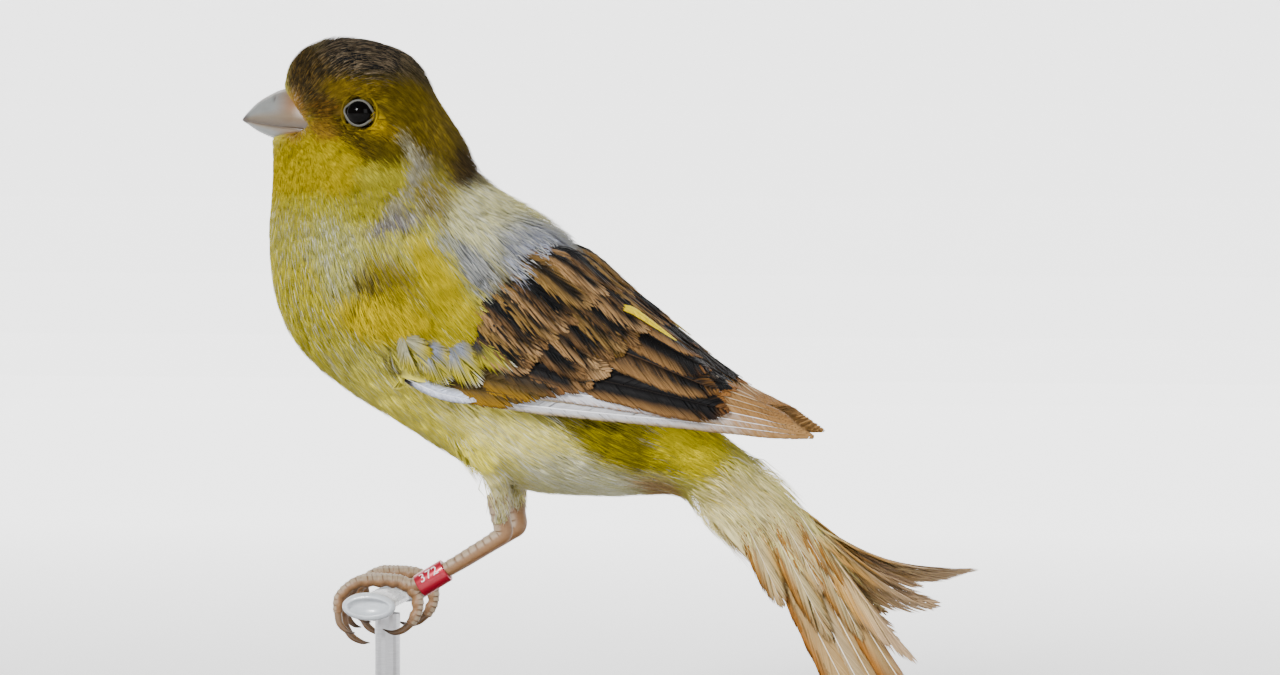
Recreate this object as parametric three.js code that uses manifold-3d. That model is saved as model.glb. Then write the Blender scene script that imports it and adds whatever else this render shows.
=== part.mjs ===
// A canary standing on a short cut length of rail, on a plain display stand, at life size.
// Millimetres, +Z up, bill toward -X, the bird's left side toward -Y.
// The origin is the middle of the stand's underside.
import * as THREE from "three";
import Module from "manifold-3d";

const wasm = await Module();
wasm.setup();

// Driving dimensions
const touchGap = 0.3; // between nodes that meet
const shapeStep = 0.0005; // corners of one shape closer than this are one corner
const cutStep = 0.004; // and the same after joins and cuts
const base = { length: 112, width: 70, thick: 5, corner: 14, bevel: 0.8 };
const perch = { x: -14.3, z: 32, length: 31, wide: 8.4, high: 4.4 };
const rod = { radius: 2 };
const bodySides = 28; // points round one section of the body
const ringsPerStation = 1.5;
const headEnd = 6.5; // stations where head, neck and torso part
const neckEnd = 8.7;
const eye = { x: -2.5, z: 76.1, y: 7.95, radius: 2.3, lidRadius: 2.55, lidThick: 0.42, lidOut: 1.05 };
const bill = { base: -11, tip: -23, tipZ: 75.1, gapeX: -9.5, gapeZ: 73.4 };
const nostril = { x: -17.6, y: 2.5, z: 78, radius: 0.5 };
const leg = { side: 6.6, hip: 8.6, shank: 1.1, toe: 0.85, spread: 3.3, shankEnd: 0.9 };
const heel = { x: 20.1, z: 10.9 };
const footJoint = { x: 6.0, z: 2.2 };
const ring = { inner: 1.42, outer: 1.84, length: 5, along: 0.82 }; // along: share of the shank from the heel
const wing = {
  reach: 70.5, start: -2.4, topStart: 6, topReach: 62, // its lower and upper edge along X
  pad: 1.7, padEnd: 0.45, vane: 0.55, tilt: 0.2, rootLift: 0.25, vary: 0.012,
};
const tail = {
  x: 54.5, z: 17.6, drop: 56, length: 47, coverts: 15, // its root, its slope in degrees, its feathers' reach
  wide: [4.6, 8], high: 10.5, sink: 4.6, // the roof's half width at root and tip, and its height
  firstTurn: 9, turnStep: 15.5, stack: 0.12, splayFrom: 0.22, // degrees between feathers, and where they bend
  vane: 0.6, vaneWidth: 6, rootSink: 1.2, tilt: 0.3,
};

// Sections of the body from crown to tail root, in the plane of the section:
// front or lower edge (x, z), back or upper edge (x, z), half width, and how far the face is pinched.
const stations = [
  { name: "crown top", front: [-6.4, 88.2], back: [-4.4, 88.2], half: 0.9, face: 0 },
  { name: "crown", front: [-12.2, 86], back: [1.6, 86.5], half: 6.3, face: 0 },
  { name: "brow", front: [-15.3, 82.7], back: [5.5, 83.2], half: 9, face: 0.12 },
  { name: "forehead", front: [-16.4, 78.9], back: [8.2, 78.8], half: 9.9, face: 0.25 },
  { name: "eye", front: [-16.6, 76], back: [9.7, 76], half: 10.3, face: 0.3 },
  { name: "gape", front: [-17.6, 72.4], back: [11.6, 72.9], half: 10.5, face: 0.3 },
  { name: "cheek", front: [-18.3, 69], back: [13.3, 69.9], half: 10.5, face: 0.14 },
  { name: "throat", front: [-18.4, 65.2], back: [14.7, 66.9], half: 10.9, face: 0.04 },
  { name: "collar", front: [-18.7, 60.6], back: [17.6, 65], half: 12.3, face: 0 },
  { name: "mantle", front: [-18.9, 55.4], back: [21.9, 61.8], half: 14.4, face: 0 },
  { name: "shoulder", front: [-18.6, 49.6], back: [25.8, 58.2], half: 16, face: 0 },
  { name: "breast", front: [-17, 43.6], back: [29.3, 54.8], half: 16.5, face: 0 },
  { name: "low breast", front: [-13.3, 38.1], back: [32.8, 51.2], half: 16.7, face: 0 },
  { name: "back", front: [-7.9, 33.4], back: [36, 47.4], half: 16.5, face: 0 },
  { name: "flank", front: [-1.1, 29.2], back: [38.9, 43.4], half: 15.9, face: 0 },
  { name: "belly", front: [6.1, 24.9], back: [41.8, 39.5], half: 14.8, face: 0 },
  { name: "thigh", front: [12.9, 20.5], back: [44.6, 35.5], half: 13.4, face: 0 },
  { name: "rump", front: [21.2, 17.1], back: [47.4, 32], half: 11.8, face: 0 },
  { name: "low rump", front: [29.9, 16.1], back: [50.2, 29], half: 9.8, face: 0 },
  { name: "vent", front: [38.3, 16.1], back: [53.2, 26.4], half: 8, face: 0 },
  { name: "tail coverts", front: [44.6, 16.6], back: [55.8, 24.4], half: 6.6, face: 0 },
  { name: "tail root", front: [48, 15.6], back: [57.5, 22.6], half: 5.9, face: 0 },
  { name: "tail socket", front: [50.4, 13.7], back: [59, 20.4], half: 5.4, face: 0 },
];

// The folded wing's lower and upper edge at tenths of its length: height, and distance from the middle plane.
const wingLowZ = [44, 36, 33.4, 32.3, 31.2, 30.3, 29.5, 28.8, 28, 27.1, 26.2];
const wingLowY = [16.3, 16.7, 16.5, 16.1, 15.3, 14.3, 13, 11.6, 10.1, 8.7, 7.4];
const wingTopZ = [55, 59, 60.6, 58.4, 54.6, 50.3, 45.4, 40.2, 35.3, 31.8, 28];
const wingTopY = [13.5, 10.5, 7.5, 5, 3, 2, 1.5, 1.5, 2, 3.5, 6.6];

// Geometry helpers
const point = (x, y, z) => new THREE.Vector3(x, y, z);
const mix = THREE.MathUtils.lerp;
const smooth = THREE.MathUtils.smoothstep;
const radians = THREE.MathUtils.degToRad;

// A value read from a table at a share from 0 to 1, straight between its entries.
function fromTable(table, share) {
  const place = THREE.MathUtils.clamp(share, 0, 1) * (table.length - 1);
  const index = Math.min(Math.floor(place), table.length - 2);
  return mix(table[index], table[index + 1], place - index);
}

// Repeatable draws from 0 to 1.
function seeded(seed) {
  let state = seed * 7919 + 17;
  return () => {
    state = (state * 48271) % 2147483647;
    return state / 2147483647;
  };
}

function solidFrom(positions, triangles) {
  const mesh = new wasm.Mesh({
    numProp: 3,
    vertProperties: new Float32Array(positions.flatMap((p) => [p.x, p.y, p.z])),
    triVerts: new Uint32Array(triangles),
  });
  const solid = new wasm.Manifold(mesh);
  return solid.volume() < 0 ? solidFrom(positions, reversed(triangles)) : solid;
}

function reversed(triangles) {
  const turned = [];
  for (let i = 0; i < triangles.length; i += 3) {
    turned.push(triangles[i], triangles[i + 2], triangles[i + 1]);
  }
  return turned;
}

// A closed solid through rings of equally many points; turned(j) tells which strips take the other diagonal.
function loft(rings, turned = () => false) {
  const sides = rings[0].length;
  const positions = rings.flat();
  const triangles = [];
  for (let k = 0; k + 1 < rings.length; k += 1) {
    for (let j = 0; j < sides; j += 1) {
      const a = k * sides + j;
      const b = k * sides + ((j + 1) % sides);
      const c = b + sides;
      const d = a + sides;
      triangles.push(...(turned(j) ? [a, b, d, b, c, d] : [a, b, c, a, c, d]));
    }
  }
  for (const [start, back] of [[0, true], [(rings.length - 1) * sides, false]]) {
    const middle = positions.length;
    const centre = point(0, 0, 0);
    for (let j = 0; j < sides; j += 1) centre.addScaledVector(positions[start + j], 1 / sides);
    positions.push(centre);
    for (let j = 0; j < sides; j += 1) {
      const a = start + j;
      const b = start + ((j + 1) % sides);
      triangles.push(...(back ? [b, a, middle] : [a, b, middle]));
    }
  }
  return solidFrom(positions, triangles);
}

// A round tube along a smooth path, with a radius for each path point.
function tube(path, radii, sides = 8, steps = 10, flatten = 1) {
  const curve = new THREE.CatmullRomCurve3(path, false, "centripetal");
  const frames = curve.computeFrenetFrames(steps, false);
  const rings = [];
  for (let k = 0; k <= steps; k += 1) {
    const centre = curve.getPointAt(k / steps);
    const radius = fromTable(radii, k / steps);
    rings.push(Array.from({ length: sides }, (_, j) => {
      const angle = (2 * Math.PI * j) / sides;
      return centre.clone()
        .addScaledVector(frames.normals[k], radius * flatten * Math.cos(angle))
        .addScaledVector(frames.binormals[k], radius * Math.sin(angle));
    }));
  }
  return loft(rings);
}

const pointsOf = (numbers) => Array.from({ length: numbers.length / 3 }, (_, i) =>
  point(numbers[3 * i], numbers[3 * i + 1], numbers[3 * i + 2]));

// Joins the corners that lie within a grid step of each other, and drops the triangles that close up.
function welded(points, index, step) {
  const seen = new Map();
  const positions = [];
  const place = points.map((p) => {
    const key = p.toArray().map((v) => Math.round(v / step)).join();
    if (!seen.has(key)) seen.set(key, positions.push(p) - 1);
    return seen.get(key);
  });
  const triangles = [];
  for (let i = 0; i < index.length; i += 3) {
    const [a, b, c] = [place[index[i]], place[index[i + 1]], place[index[i + 2]]];
    if (a !== b && b !== c && c !== a) triangles.push(a, b, c);
  }
  return solidFrom(positions, triangles);
}

// A solid from one of three.js's closed shapes, moved by a matrix.
function solidOf(geometry, matrix = new THREE.Matrix4()) {
  const from = geometry.clone().applyMatrix4(matrix);
  const points = pointsOf(from.getAttribute("position").array);
  return welded(points, from.index ? Array.from(from.index.array) : points.map((_, i) => i), shapeStep);
}

const sphere = (centre, radius, wide = 16, high = 12) => solidOf(
  new THREE.SphereGeometry(radius, wide, high),
  new THREE.Matrix4().makeTranslation(centre.x, centre.y, centre.z),
);

const union = (solids) => solids.reduce((whole, next) => whole.add(next));
const largest = (solid) => solid.decompose().sort((a, b) => b.volume() - a.volume())[0];

// The body: one smooth form, parted into head, neck and torso
const stationCurve = (read) => new THREE.CatmullRomCurve3(stations.map(read), false, "catmullrom", 0.5);
const frontCurve = stationCurve((s) => point(s.front[0], s.half, s.front[1]));
const backCurve = stationCurve((s) => point(s.back[0], s.face, s.back[1]));

function bodyRing(station, grow = 0, slide = 0) {
  const share = station / (stations.length - 1);
  const front = frontCurve.getPoint(share);
  const back = backCurve.getPoint(share);
  const half = front.y + grow;
  const face = back.y;
  const middle = point((front.x + back.x) / 2, 0, (front.z + back.z) / 2);
  const reach = point((front.x - back.x) / 2, 0, (front.z - back.z) / 2);
  const length = reach.length();
  const down = point(-reach.z, 0, reach.x).divideScalar(length); // along the bird, from crown to tail
  return Array.from({ length: bodySides }, (_, j) => {
    const angle = (2 * Math.PI * j) / bodySides;
    const ahead = Math.cos(angle);
    const side = Math.sign(Math.sin(angle)) * Math.abs(Math.sin(angle)) ** 0.92;
    const pinch = 1 - face * smooth(ahead, -0.3, 0.5);
    return middle.clone()
      .addScaledVector(reach, (ahead * (length + grow)) / length)
      .addScaledVector(down, slide)
      .setY(half * side * pinch);
  });
}

function bodySection(from, to, slide = 0, grow = 0) {
  const count = Math.ceil((to - from) * ringsPerStation);
  const rings = Array.from({ length: count + 1 }, (_, k) =>
    bodyRing(mix(from, to, k / count), grow, k === 0 ? slide : 0));
  return loft(rings);
}

const lastStation = stations.length - 1;
const bodyAround = bodySection(0, lastStation, 0, touchGap + 0.05); // what grows from the body is cut by this

function head() {
  let solid = bodySection(0, headEnd);
  for (const side of [-1, 1]) {
    const lid = new THREE.Matrix4()
      .makeRotationX(Math.PI / 2)
      .setPosition(eye.x, side * (eye.y + eye.lidOut), eye.z);
    solid = solid.add(solidOf(new THREE.TorusGeometry(eye.lidRadius, eye.lidThick, 6, 16), lid));
    solid = solid.subtract(sphere(point(eye.x, side * eye.y, eye.z), eye.radius + touchGap, 16, 10));
  }
  return solid;
}

const eyeball = (side) => sphere(point(eye.x, side * eye.y, eye.z), eye.radius, 16, 10);

// The bill, parted along the line of the mouth
function wholeBill() {
  const sections = [
    { x: bill.base, top: 80.2, low: 71.6, half: 4.3 },
    { x: -14, top: 80, low: 71.7, half: 4 },
    { x: -16.5, top: 79.5, low: 71.9, half: 3.6 },
    { x: -18.5, top: 78.7, low: 72.4, half: 3 },
    { x: -20.5, top: 77.5, low: 73.3, half: 2.1 },
    { x: -22, top: 76.4, low: 74.3, half: 1.2 },
    { x: bill.tip, top: 75.5, low: 74.9, half: 0.3 },
  ];
  return loft(sections.map(({ x, top, low, half }) => Array.from({ length: 16 }, (_, j) => {
    const angle = (2 * Math.PI * j) / 16;
    return point(x, half * Math.sin(angle), mix(low, top, (1 + Math.cos(angle)) / 2));
  })));
}

function billHalf(upper) {
  const slope = Math.atan2(bill.tipZ - bill.gapeZ, bill.gapeX - bill.tip);
  const cutter = new THREE.BoxGeometry(40, 20, 20);
  cutter.translate(0, 0, (upper ? -1 : 1) * (10 - touchGap / 2));
  const matrix = new THREE.Matrix4().makeRotationY(slope).setPosition(bill.tip, 0, bill.tipZ);
  let half = wholeBill().subtract(bodyAround).subtract(solidOf(cutter, matrix));
  if (!upper) return half;
  for (const side of [-1, 1]) {
    const { x, y, z, radius } = nostril;
    half = half.subtract(sphere(point(x, side * y, z), radius, 8, 6));
  }
  return half;
}

// Legs: a feathered thigh, a bare shank with the left one's ring, and a foot that holds the perch
function thigh(side) {
  const path = [
    point(16.5, side * leg.hip, 25), point(17.8, side * (leg.hip - 0.4), 20),
    point(19, side * (leg.side + 1), 15.6), point(heel.x - 0.5, side * (leg.side + 0.4), heel.z + 1.75),
  ];
  return tube(path, [5.4, 4.6, 3.2, 2.3], 14, 8).subtract(bodyAround);
}

function shankPoint(along, side) {
  return point(mix(heel.x, footJoint.x, along), side * leg.side, mix(heel.z, footJoint.z, along));
}

const shankAxis = (side) => shankPoint(1, side).sub(shankPoint(0, side)).normalize();

function shank(side) {
  const path = [0, 0.1, 0.5, leg.shankEnd].map((along) => shankPoint(along, side));
  return tube(path, [1.35, 1.3, leg.shank, leg.shank, leg.shank], 10, 8);
}

function legRing(side) {
  const { inner, outer, length } = ring;
  const profile = [[inner, -1], [outer, -1], [outer, 1], [inner, 1], [inner, -1]]
    .map(([radius, end]) => new THREE.Vector2(radius, (end * length) / 2));
  const turn = new THREE.Quaternion().setFromUnitVectors(point(0, 1, 0), shankAxis(side));
  const matrix = new THREE.Matrix4().makeRotationFromQuaternion(turn);
  return solidOf(new THREE.LatheGeometry(profile, 20), matrix.setPosition(shankPoint(ring.along, side)));
}

// Toes: each path is seen from the side, from the foot's joint over the perch to the claw's tip.
const toeRoot = [5.4, 2.3];
const toes = [
  { // middle
    spread: 0, reach: 12, thick: 1,
    path: [[3, 3.3], [0, 3.45], [-3.3, 3.1], [-5.7, 1], [-6.1, -1.6], [-5.5, -3.8]],
    claw: [[-4.4, -5.5], [-2.8, -6.4], [-1.5, -6.5]],
  },
  { // inner
    spread: 1, reach: 12, thick: 1,
    path: [[3, 3.2], [0, 3.4], [-3, 3.15], [-5.5, 1.1], [-5.9, -1]],
    claw: [[-5.7, -2.9], [-4.6, -4.1], [-3.4, -4.4]],
  },
  { // outer
    spread: -1, reach: 12, thick: 1,
    path: [[3, 3.2], [0, 3.4], [-3.2, 3.1], [-5.6, 1], [-5.9, -1.4]],
    claw: [[-5.6, -3.2], [-4.5, -4.4], [-3.3, -4.7]],
  },
  { // hind
    spread: 0.2, reach: 6, thick: 1.05,
    path: [[6.1, 0.6], [6, -1.6], [5, -3.4]],
    claw: [[3.6, -4.5], [2, -4.9], [0.4, -4.4]],
  },
];
const toeTaper = [1.15, 1, 1, 0.95, 0.85];
const clawTaper = [0.62, 0.55, 0.42, 0.15];
const anklePath = [[5.2, 2.5], [3.4, 3.1]];

function foot(side) {
  const ankle = shankPoint(leg.shankEnd, side).addScaledVector(shankAxis(side), touchGap);
  const instep = anklePath.map(([x, z]) => point(x, side * leg.side, z));
  const pieces = [tube([ankle, ...instep], [leg.shank, 1.15, 1], 10, 4)];
  for (const { spread, reach, thick, path, claw } of toes) {
    const splayAt = (x) => spread * leg.spread * smooth(Math.abs(x - toeRoot[0]), 0, reach);
    const place = ([x, z]) => point(x, side * (leg.side - splayAt(x)), z);
    pieces.push(tube([toeRoot, ...path].map(place), toeTaper.map((share) => share * thick * leg.toe), 7, 8));
    pieces.push(tube([path.at(-1), ...claw].map(place), clawTaper, 6, 4));
  }
  return union(pieces);
}

// A feather is a thin vane laid on a surface, tilted so that its upper edge lies under its neighbour.
const surfaceStep = 0.01; // for slopes of a surface
const vaneShape = [[0, 0.5], [0.3, 0.93], [0.66, 1], [0.9, 0.68], [1, 0.14]]; // share of length, of width

function outward(surface, u, v, sense) {
  const here = surface(u, v);
  const along = surface(u + surfaceStep, v).sub(here);
  const across = surface(u, v + surfaceStep).sub(here);
  return along.cross(across).normalize().multiplyScalar(sense);
}

function vane(surface, { root, tip, width, thick, lift, rootLift, tilt, sense }) {
  const rings = vaneShape.map(([along, share]) => {
    const [u, v] = [mix(root[0], tip[0], along), mix(root[1], tip[1], along)];
    const normal = outward(surface, u, v, sense);
    const across = surface(u, v + surfaceStep).distanceTo(surface(u, v)) / surfaceStep;
    const height = mix(rootLift, lift, smooth(along, 0, 0.4));
    const edges = [-1, 1].map((edge) => surface(u, v + (edge * share * width) / 2 / across)
      .addScaledVector(normal, height + edge * tilt));
    const outer = edges.map((p) => p.clone().addScaledVector(normal, thick / 2));
    const inner = edges.map((p) => p.clone().addScaledVector(normal, -thick / 2));
    return [...outer, ...inner.reverse()];
  });
  return loft(rings, (j) => j === 2);
}

// Wings: tiers of vanes on the folded wing's surface, rooted in the pad of the arm.
// A place on it is (share of the wing's length, share of the way from the lower to the upper edge).
// Each tier runs from its lowest feather to its highest, from root to tip.
const wingTiers = [
  { // primaries
    count: 5, width: 5, lift: 0.35,
    root: [[0.1, -0.01], [0.5, 0.35]], tip: [[1, 0.04], [0.875, 0.84]],
  },
  { // secondaries
    count: 4, width: 6.4, lift: 0.8,
    root: [[0.3, 0.05], [0.42, 0.45]], tip: [[0.8, 0.09], [0.79, 0.56]],
  },
  { // tertials
    count: 4, width: 7, lift: 1.3,
    root: [[0.42, 0.24], [0.47, 0.84]], tip: [[0.82, 0.2], [0.75, 0.86]],
  },
  { // greater coverts
    count: 6, width: 6.4, lift: 1.6,
    root: [[0.22, 0.03], [0.38, 0.62]], tip: [[0.38, 0.03], [0.57, 0.62]],
  },
  { // scapulars
    count: 4, width: 7, lift: 1.95,
    root: [[0.28, 0.5], [0.32, 0.93]], tip: [[0.5, 0.42], [0.48, 0.93]],
  },
  { // median coverts
    count: 5, width: 6, lift: 1.9,
    root: [[0.1, 0.05], [0.21, 0.48]], tip: [[0.225, 0.05], [0.34, 0.48]],
  },
];

function wingSurface(side) {
  return (u, v) => {
    const turn = (v * Math.PI) / 2;
    const low = point(wing.start + wing.reach * u, fromTable(wingLowY, u), fromTable(wingLowZ, u));
    const top = point(wing.topStart + wing.topReach * u, fromTable(wingTopY, u), fromTable(wingTopZ, u));
    return low.clone().lerp(top, Math.sin(turn)).setY(side * mix(top.y, low.y, Math.cos(turn)));
  };
}

function armPad(side) {
  const surface = wingSurface(side);
  const steps = 8;
  const columns = 7;
  const rings = [];
  for (let k = 0; k <= steps; k += 1) {
    const u = mix(0, wing.padEnd, k / steps);
    const swell = wing.pad * mix(0.3, 1, Math.sin(Math.PI * mix(0.12, 1, k / steps)));
    const outer = [];
    const inner = [];
    for (let j = 0; j < columns; j += 1) {
      const v = j / (columns - 1);
      const normal = outward(surface, u, v, -side);
      outer.push(surface(u, v).addScaledVector(normal, swell * mix(0.35, 1, Math.sin(Math.PI * v))));
      inner.push(surface(u, v).addScaledVector(normal, -0.3));
    }
    rings.push([...outer, ...inner.reverse()]);
  }
  return loft(rings, (j) => j >= columns);
}

function wingForm(side) {
  const random = seeded(side + 7);
  const pieces = [armPad(side)];
  for (const { count, root, tip, width, lift } of wingTiers) {
    for (let i = 0; i < count; i += 1) {
      const share = i / (count - 1);
      const vary = () => (random() - 0.5) * wing.vary;
      pieces.push(vane(wingSurface(side), {
        root: [mix(root[0][0], root[1][0], share), mix(root[0][1], root[1][1], share)],
        tip: [mix(tip[0][0], tip[1][0], share) + vary(), mix(tip[0][1], tip[1][1], share)],
        width, lift, thick: wing.vane, rootLift: wing.rootLift, tilt: -wing.tilt, sense: -side,
      }));
    }
  }
  const farHalf = new THREE.BoxGeometry(200, 40, 200).translate(0, -side * (20 - touchGap), 0);
  return union(pieces).subtract(bodyAround).subtract(solidOf(farHalf));
}

// Tail: a roof of overlapping feathers, the middle pair on top, rooted in a plug of covert feathers.
// A place on it is (share of the tail's length, degrees round its middle line).
const tailAlong = point(Math.cos(radians(tail.drop)), 0, -Math.sin(radians(tail.drop)));
const tailUp = point(Math.sin(radians(tail.drop)), 0, Math.cos(radians(tail.drop)));

// How far each feather's tip splays upward, from the middle pair outward.
const tailSplay = [
  { side: -1, rises: [4, 0, 0, 0, 0, 0] },
  { side: 1, rises: [9, 16, 13, 9, 5, 2] },
];
const splayPull = 0.35; // a splayed tip also comes this share of its rise nearer to the root

function tailSurface(rise) {
  return (u, v) => {
    const turn = radians(v);
    const bent = Math.max(0, u - tail.splayFrom) / (1 - tail.splayFrom);
    return point(tail.x, mix(tail.wide[0], tail.wide[1], u) * Math.sin(turn), tail.z)
      .addScaledVector(tailAlong, tail.length * u - splayPull * rise * bent ** 2)
      .addScaledVector(tailUp, tail.high * Math.cos(turn) - tail.sink + rise * bent ** 2);
  };
}

function tailPlug() {
  const socket = bodyRing(lastStation, 0, touchGap);
  const centre = socket.reduce((sum, p) => sum.addScaledVector(p, 1 / bodySides), point(0, 0, 0));
  const steps = 4;
  return loft(Array.from({ length: steps + 1 }, (_, k) => {
    const share = k / steps;
    const shrink = 1 - 0.5 * share ** 1.5;
    return socket.map((p) => p.clone().sub(centre).multiplyScalar(shrink).add(centre)
      .addScaledVector(tailAlong, tail.coverts * share));
  }));
}

function tailForm() {
  const pieces = [tailPlug()];
  for (const { side, rises } of tailSplay) {
    rises.forEach((rise, i) => {
      const turn = side * (tail.firstTurn + tail.turnStep * i);
      pieces.push(vane(tailSurface(rise), {
        root: [0.06, turn * 0.72], tip: [mix(0.94, 1, i / rises.length), turn], width: tail.vaneWidth,
        thick: tail.vane, lift: -tail.stack * i, rootLift: -tail.rootSink, tilt: side * tail.tilt, sense: 1,
      }));
    });
  }
  return union(pieces);
}

// Stand
function roundedPlate(length, width, corner) {
  const [x, y] = [length / 2 - corner, width / 2 - corner];
  const shape = new THREE.Shape();
  shape.absarc(x, y, corner, 0, Math.PI / 2);
  shape.absarc(-x, y, corner, Math.PI / 2, Math.PI);
  shape.absarc(-x, -y, corner, Math.PI, 1.5 * Math.PI);
  shape.absarc(x, -y, corner, 1.5 * Math.PI, 2 * Math.PI);
  return shape;
}

function standBase() {
  const { length, width, thick, corner, bevel } = base;
  const shape = roundedPlate(length - 2 * bevel, width - 2 * bevel, corner - bevel);
  const plate = new THREE.ExtrudeGeometry(shape, {
    depth: thick - 2 * bevel, bevelEnabled: true, bevelThickness: bevel, bevelSize: bevel,
    bevelSegments: 1, curveSegments: 5,
  });
  return solidOf(plate.translate(0, 0, bevel));
}

function standPerch() {
  const oval = new THREE.Shape();
  oval.absellipse(0, 0, perch.wide / 2 - 0.5, perch.high / 2 - 0.5, 0, 2 * Math.PI);
  const rail = new THREE.ExtrudeGeometry(oval, {
    depth: perch.length - 1, bevelEnabled: true, bevelThickness: 0.5, bevelSize: 0.5,
    bevelSegments: 2, curveSegments: 10,
  }).translate(0, 0, -(perch.length - 1) / 2);
  return solidOf(rail, new THREE.Matrix4().makeRotationX(Math.PI / 2));
}

function standRod() {
  const top = perch.z - perch.high / 2 - touchGap;
  const low = base.thick + touchGap;
  const post = new THREE.CylinderGeometry(rod.radius, rod.radius, top - low, 20);
  return solidOf(post.rotateX(Math.PI / 2).translate(perch.x, 0, (top + low) / 2));
}

// The scene graph
const paint = (color, roughness, metalness = 0) =>
  new THREE.MeshStandardMaterial({ color, roughness, metalness });
const finishes = {
  feather: paint(0xb9a53a, 0.8),
  crown: paint(0x4d4227, 0.8),
  wing: paint(0x7a5a34, 0.75),
  tailFeather: paint(0xc4b184, 0.75),
  horn: paint(0xc9b3a6, 0.4),
  eye: paint(0x0a0708, 0.08),
  skin: paint(0xb98f70, 0.6),
  ring: paint(0xa3122b, 0.35),
  rail: paint(0x8e9296, 0.25),
  rod: paint(0xb7b9bb, 0.3, 1),
  base: paint(0x2c2a28, 0.5),
};

function cleaned(solid) {
  const { vertProperties, triVerts } = solid.getMesh();
  return welded(pointsOf(vertProperties), Array.from(triVerts), cutStep);
}

function mesh(name, solid, material) {
  const data = largest(cleaned(largest(solid))).getMesh();
  const geometry = new THREE.BufferGeometry();
  geometry.setAttribute("position", new THREE.BufferAttribute(data.vertProperties.slice(), 3));
  geometry.setIndex(new THREE.BufferAttribute(data.triVerts.slice(), 1));
  geometry.computeVertexNormals();
  const made = new THREE.Mesh(geometry, material);
  made.name = name;
  return made;
}

const canary = new THREE.Group();
canary.position.set(perch.x, 0, perch.z); // the bird is drawn from the middle of the rail that it holds
canary.add(
  mesh("head", head(), finishes.crown),
  mesh("neck", bodySection(headEnd, neckEnd, touchGap), finishes.feather),
  mesh("torso", bodySection(neckEnd, lastStation, touchGap), finishes.feather),
  mesh("bill_upper", billHalf(true), finishes.horn),
  mesh("bill_lower", billHalf(false), finishes.horn),
  mesh("tail", tailForm(), finishes.tailFeather),
  mesh("leg_ring", legRing(-1), finishes.ring),
  mesh("stand_perch", standPerch(), finishes.rail),
);
for (const [name, side] of [["left", -1], ["right", 1]]) {
  canary.add(
    mesh(`eye_${name}`, eyeball(side), finishes.eye),
    mesh(`wing_${name}`, wingForm(side), finishes.wing),
    mesh(`thigh_${name}`, thigh(side), finishes.feather),
    mesh(`shank_${name}`, shank(side), finishes.skin),
    mesh(`foot_${name}`, foot(side), finishes.skin),
  );
}

const model = new THREE.Group();
model.add(canary);
model.add(mesh("stand_rod", standRod(), finishes.rod));
model.add(mesh("stand_base", standBase(), finishes.base));

export default model;
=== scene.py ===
# A canary at life size, standing on a short cut rail on a plain display stand.
import math

import bmesh
import bpy
import numpy as np
from mathutils import Matrix, Vector
from mathutils.bvhtree import BVHTree
from mathutils.kdtree import KDTree


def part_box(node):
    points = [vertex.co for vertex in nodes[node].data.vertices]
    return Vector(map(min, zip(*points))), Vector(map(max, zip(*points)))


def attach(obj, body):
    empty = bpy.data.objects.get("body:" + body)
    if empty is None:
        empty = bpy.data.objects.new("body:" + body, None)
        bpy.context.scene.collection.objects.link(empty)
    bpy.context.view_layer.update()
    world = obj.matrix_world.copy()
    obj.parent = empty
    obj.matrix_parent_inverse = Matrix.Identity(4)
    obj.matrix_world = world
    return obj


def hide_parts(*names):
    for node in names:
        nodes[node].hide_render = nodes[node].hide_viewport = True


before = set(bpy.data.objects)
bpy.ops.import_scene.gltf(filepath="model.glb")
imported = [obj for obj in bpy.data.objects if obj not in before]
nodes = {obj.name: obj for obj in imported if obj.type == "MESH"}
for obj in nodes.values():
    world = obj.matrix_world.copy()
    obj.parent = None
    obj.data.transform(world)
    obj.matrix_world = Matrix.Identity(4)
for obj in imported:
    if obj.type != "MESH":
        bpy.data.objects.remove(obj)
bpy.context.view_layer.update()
scene = bpy.context.scene
mm = 0.001

# The bird is measured in millimetres from the middle of its rail: x toward the tail, z up, left side -y.
railLow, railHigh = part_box("stand_perch")
railMiddle = (railLow + railHigh) / 2


def toFrame(points):
    return np.asarray(points, float) * mm + np.array(railMiddle)


def toBird(points):
    return (np.asarray(points, float) - np.array(railMiddle)) / mm


def smooth(value, low, high):
    share = np.clip((np.asarray(value, float) - low) / (high - low), 0, 1)
    return share * share * (3 - 2 * share)


def lerp(a, b, share):
    return a + (b - a) * share


def unit(vectors):
    return vectors / np.maximum(np.linalg.norm(vectors, axis=-1, keepdims=True), 1e-9)


def linear(colour):
    # a colour given as on a screen, 0 to 255, made linear
    share = np.asarray(colour, float) / 255
    return np.where(share <= 0.04045, share / 12.92, ((share + 0.055) / 1.055) ** 2.4)


def rgba(colour):
    return (*[float(c) for c in linear(colour)], 1.0)


# Materials

class Wire:
    # one output of a material's nodes; an expression on wires adds its Math nodes
    def __init__(self, finish, socket):
        self.finish = finish
        self.socket = socket

    def maths(self, operation, *values):
        return self.finish.add("ShaderNodeMath", {"operation": operation}, dict(enumerate(values)))

    def __add__(self, other):
        return self.maths("ADD", self, other)

    def __sub__(self, other):
        return self.maths("SUBTRACT", self, other)

    def __rsub__(self, other):
        return self.maths("SUBTRACT", other, self)

    def __mul__(self, other):
        return self.maths("MULTIPLY", self, other)

    __radd__ = __add__
    __rmul__ = __mul__


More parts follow.
